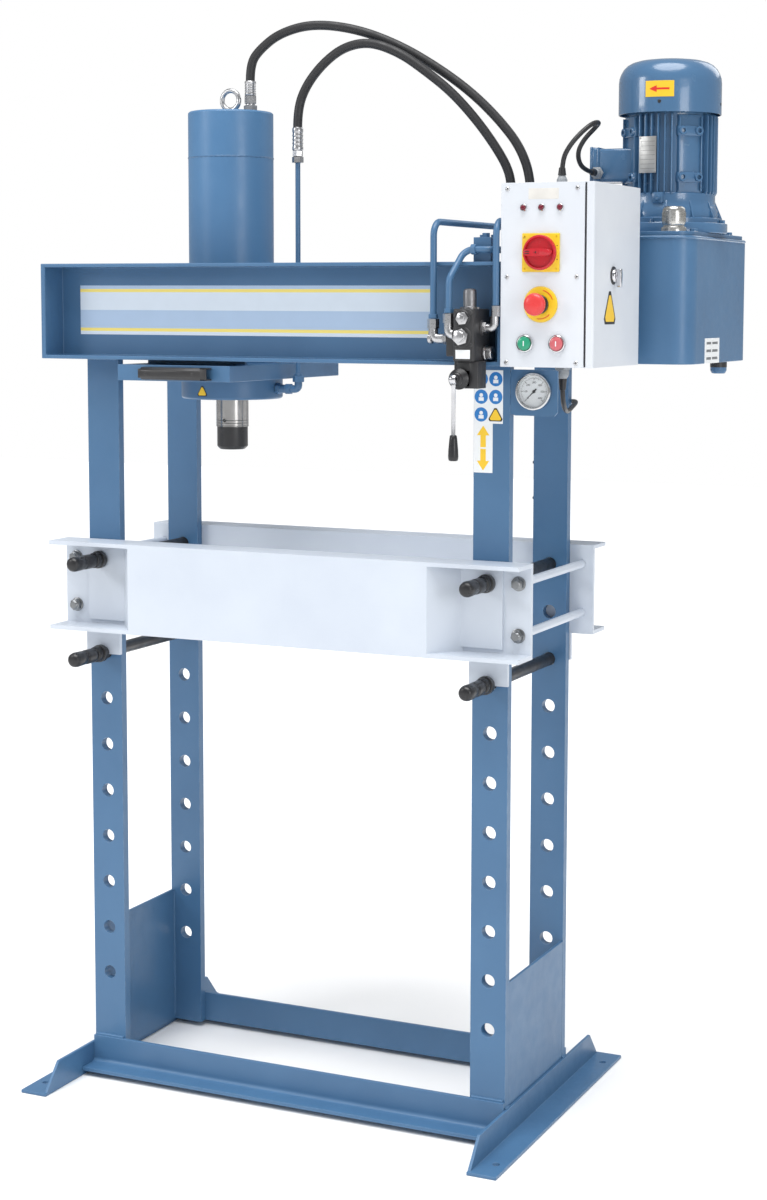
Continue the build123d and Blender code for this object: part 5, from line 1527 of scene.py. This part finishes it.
def tank_details():
    low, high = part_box("oil_tank")
    lid_low, lid_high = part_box("tank_lid")
    right, front = high.x, low.y
    bm = bmesh.new()
    for x in (lid_low.x + 0.01, lid_high.x - 0.01):
        for y in (0.112, 0.343):
            lathe(bm, (x, y, LID_TOP), Z, mm(0, 0, 8, 0, 8, 1, 0, 1), 28)
            hexagon(bm, (x, y, LID_TOP), Z, 0.01, 0.005, start=0.001, turn=x * 40 + y * 9)
    piece("lid_bolts", bm, ZINC, "press_frame")
    drain = bmesh.new()
    lathe(drain, (0.712, 0.3, 1.463), -Z, mm(0, -1, 16.5, -1, 16.5, 10.5, 15, 12, 0, 12), 36)
    hexagon(drain, (0.712, 0.3, 1.463), -Z, 0.022, 0.0112, start=0.012)
    piece("drain_plug", drain, BLACK_STEEL, "press_frame")
    label = bmesh.new()
    z_mid, y_mid = 1.487, 0.19
    brick(label, (right - 0.0001, y_mid - 0.048, z_mid - 0.024),
          (right + 0.0004, y_mid + 0.048, z_mid + 0.024), 0.0001, 1)
    for row in range(3):
        for start, width in ((-0.037, 0.03), (0.0, 0.036)):
            z = z_mid + 0.0145 - row * 0.0145
            brick(label, (right + 0.00035, y_mid + start, z - 0.0024),
                  (right + 0.0005, y_mid + start + width, z + 0.0024), 0.0, 1, slot=1)
    grey_ink = plastic("label grey", (0.16, 0.17, 0.18), (0.35, 0.5), 0.00002)
    piece("tank_label", label, [WHITE_INK, grey_ink], "press_frame")
    seam = bmesh.new()
    corner = 0.04
    points = []
    for step in range(3):
        points.append(Vector((low.x + 0.03 + (right - corner - low.x - 0.03) * step / 2, front,
                              lid_low.z - 0.0035)))
    centre = Vector((right - corner, front + corner, lid_low.z - 0.0035))
    for step in range(9):
        points.append(centre + in_plan(math.radians(-90 + 90 * step / 8))[0] * corner)
    for step in range(1, 4):
        points.append(Vector((right, front + corner + (high.y - front - 2 * corner) * step / 3,
                              lid_low.z - 0.0035)))
    sweep(seam, points, 0.003, 10)
    piece("tank_rim", seam, BLUE_MOTOR, "press_frame", angle=60)


def breather():
    low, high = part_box("breather_cap")
    centre = ((low.x + high.x) / 2, (low.y + high.y) / 2, low.z)
    tall = high.z - low.z
    bm = bmesh.new()
    lathe(bm, centre, Z, [
        (0, 0), (0.024, 0), (0.024, 0.006), (0.0232, 0.0076), (0.0205, 0.0085), (0.02, 0.0108),
        (0.0212, 0.0128), (0.0218, 0.015), (0.0218, tall - 0.01), (0.0208, tall - 0.005),
        (0.0185, tall - 0.0018), (0.015, tall - 0.0004), (0.014, tall - 0.0016), (0.004, tall - 0.0022),
        (0, tall - 0.0022),
    ], 72)
    for angle in turns(36):
        way, side = in_plan(angle)
        strip(bm, Vector(centre) + way * 0.0214, Z, 0.018, tall - 0.012, side, 0.0009, way * 0.001)
    piece("breather_piece", bm, metal("breather plate", (0.64, 0.63, 0.6), (0.2, 0.36)), "breather",
          ["breather_cap"])
    tag = bmesh.new()
    disc_stack(tag, centre, Z, [(0.013, tall - 0.0022, tall - 0.0014)], 40, 0.0002)
    piece("breather_top", tag, PLUG_BLACK, "breather")


motor_housing()
rating_plate()
fan_cowl()
turning_arrow()
tank_details()
breather()


# ---------------------------------------------------------------- glands and hook
def gland(bm, centre, axis, flats, radius, length, boot):
    """A cable gland: hexagon, ribbed dome nut, and a tapered boot round the cable."""
    hexagon(bm, centre, axis, flats, length * 0.34)
    lathe(bm, centre, axis, [
        (0, length * 0.34), (radius * 1.06, length * 0.34), (radius * 1.08, length * 0.62),
        (radius * 0.98, length * 0.8), (radius * 0.72, length * 0.96), (CABLE_D * 0.62, length), (0, length)],
          24)
    side, up = across(axis)
    for angle in turns(16):
        way = side * math.cos(angle) + up * math.sin(angle)
        base = Vector(centre) + way * radius * 1.03
        strip(bm, base, Vector(axis), length * 0.4, length * 0.7, Vector(axis).cross(way), 0.0006,
              way * 0.0008)
    if boot:
        lathe(bm, Vector(centre) + Vector(axis) * length, axis, [
            (CABLE_D / 2, 0), (CABLE_D * 0.86, 0), (CABLE_D * 0.66, boot), (CABLE_D / 2, boot + 0.0006)], 24,
              slot=1)


def glands():
    bm = bmesh.new()
    box_low, box_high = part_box("enclosure")
    gland(bm, (0.505, -0.034, box_high.z), Z, 0.022, 0.0088, MOTOR_CABLE[0][2] - box_high.z, 0.014)
    gland(bm, (0.535, -0.1, box_low.z), -Z, 0.026, 0.0108, box_low.z - MAINS_CABLE[0][2], 0.02)
    gland(bm, (0.505, 0.16, 1.827), -Y, 0.022, 0.0088, 0.16 - MOTOR_CABLE[-1][1], 0.012)
    piece("gland_set", bm, [NYLON, PLUG_BLACK], "press_frame", ["cable_glands"])
    hook = bmesh.new()
    brick(hook, (0.395, 0.161, 1.282), (0.417, 0.164, 1.33), 0.0008)
    brick(hook, (0.401, 0.1635, 1.298), (0.411, 0.203, 1.303), 0.0012)
    brick(hook, (0.401, 0.2, 1.2985), (0.411, 0.203, 1.309), 0.001)
    lathe(hook, (0.406, 0.164, 1.3225), Y, mm(0, 0, 3.5, 0, 2.8, 1.4, 0, 1.7), 20)
    piece("lead_hook", hook, BLUE_PAINT, "press_frame")


glands()


# ---------------------------------------------------------------- banner and stickers
def banner():
    """The beam's striped band, with no name on it."""
    face = -0.169
    left, right, bottom, top = -0.465, 0.3, 1.5117, 1.608
    bands = (
        (0.0, 0.07, BAND_LIGHT), (0.07, 0.135, LEMON_INK), (0.135, 0.5, BAND_MIDDLE),
        (0.5, 0.865, BAND_LIGHT), (0.865, 0.93, LEMON_INK), (0.93, 1.0, BAND_MIDDLE),
    )
    for index, (start, end, material) in enumerate(bands):
        bm = bmesh.new()
        brick(bm, (left, face - 0.0004, bottom + (top - bottom) * start),
              (right, face, bottom + (top - bottom) * end))
        piece(f"banner_band_{index + 1}", bm, material, "press_frame")


def safety_stickers():
    face = -0.161
    left, right, bottom, top = 0.3845, 0.442, 1.356, 1.454
    bm = bmesh.new()
    brick(bm, (left, face - 0.0004, bottom), (right, face, top))
    brick(bm, (left, face - 0.0004, 1.265), (left + 0.0375, face, bottom))
    cell_w, cell_h = (right - left) / 2, (top - bottom) / 3
    for row in range(3):
        for column in range(2):
            centre = (left + cell_w * (column + 0.5), face - 0.0004, top - cell_h * (row + 0.5))
            if row == 2 and column == 1:
                continue
            lathe(bm, centre, -Y, mm(0, 0, 13.2, 0, 13.2, 0.1, 0, 0.1), 40, slot=1)
            lathe(bm, (centre[0], centre[1] - 0.0001, centre[2] + 0.003), -Y,
                  mm(0, 0, 3.6, 0, 3.6, 0.1, 0, 0.1), 24)
            brick(bm, (centre[0] - 0.005, centre[1] - 0.0002, centre[2] - 0.0075),
                  (centre[0] + 0.005, centre[1] - 0.00005, centre[2] - 0.001))
    for sign, z in ((1, 1.312), (-1, 1.309)):
        middle_x = left + 0.0187
        y = face - 0.0004
        shaft, head, tip = 0.0055, 0.0125, 0.04
        outline = [(-shaft, 0), (-shaft, 0.022), (-head, 0.022), (0, tip), (head, 0.022), (shaft, 0.022),
                   (shaft, 0)]
        points = [Vector((middle_x + a, y, z + sign * b)) for a, b in outline]
        prism(bm, points, (0, -0.0001, 0), slot=2)
    piece("post_stickers", bm, [WHITE_INK, BLUE_INK, YELLOW_INK], "press_frame")
    triangle_sign("post_sign", (left + cell_w * 1.5, face - 0.0004, bottom + cell_h * 0.42), -Y, X, Z, 0.015,
                  "press_frame")
    head_low, head_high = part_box("cylinder_head")
    head_middle = middle("cylinder_head")
    radius = (head_high.x - head_low.x) / 2
    way, side = in_plan(math.radians(-96))
    spot = Vector((head_middle.x, 0, 1.398)) + way * (radius + 0.0001)
    triangle_sign("head_sign", spot, way, side, Z, 0.0125, "carriage")


banner()
safety_stickers()


# ---------------------------------------------------------------- floor and light
SKY = 0.42


def aim_along(light, way):
    light.rotation_mode = "QUATERNION"
    light.rotation_quaternion = way.to_track_quat("-Z", "Y")


def studio():
    bm = bmesh.new()
    reach = 14.0
    corners = [bm.verts.new((x, y, -0.0006)) for x,
               y in ((-reach, -reach), (reach, -reach), (reach, reach), (-reach, reach))]
    bm.faces.new(corners)
    mesh = bpy.data.meshes.new("floor")
    bm.to_mesh(mesh)
    bm.free()
    floor = link(bpy.data.objects.new("floor", mesh))
    pale = base_material("studio floor", (0.88, 0.88, 0.88), 0.9)
    mesh.materials.append(pale)
    world = bpy.data.worlds.new("studio")
    bpy.context.scene.world = world
    world.use_nodes = True
    tree = world.node_tree
    lighting = tree.nodes["Background"]
    lighting.inputs["Color"].default_value = (0.96, 0.98, 1.0, 1)
    lighting.inputs["Strength"].default_value = SKY
    backdrop = tree.nodes.new("ShaderNodeBackground")
    backdrop.inputs["Color"].default_value = (1.0, 1.0, 1.0, 1)
    seen = tree.nodes.new("ShaderNodeLightPath")
    choice = tree.nodes.new("ShaderNodeMixShader")
    tree.links.new(seen.outputs["Is Camera Ray"], choice.inputs["Fac"])
    tree.links.new(lighting.outputs["Background"], choice.inputs[1])
    tree.links.new(backdrop.outputs["Background"], choice.inputs[2])
    tree.links.new(choice.outputs["Shader"], tree.nodes["World Output"].inputs["Surface"])
    sun_data = bpy.data.lights.new("overhead", "SUN")
    sun_data.energy = 3.4
    sun_data.angle = math.radians(50)
    sun_data.specular_factor = 0.3
    sun = link(bpy.data.objects.new("overhead", sun_data))
    aim_along(sun, Vector((-0.06, 0.28, -1.0)))
    for name, at, aim, size, power, gloss in (
        ("key", (-3.4, -3.4, 3.2), (0, 0, 1.1), 1.4, 54, 1.0),
        ("fill", (4.2, -2.8, 2.0), (0.2, 0, 1.0), 1.6, 42, 0.3),
        ("rear", (1.5, 3.4, 3.8), (0, 0, 1.2), 2.0, 24, 1.0),
    ):
        data = bpy.data.lights.new(name, "AREA")
        data.size = size
        data.energy = power
        data.specular_factor = gloss
        light = link(bpy.data.objects.new(name, data))
        light.location = at
        aim_along(light, Vector(aim) - Vector(at))
    bpy.context.scene.view_settings.view_transform = "Standard"


studio()
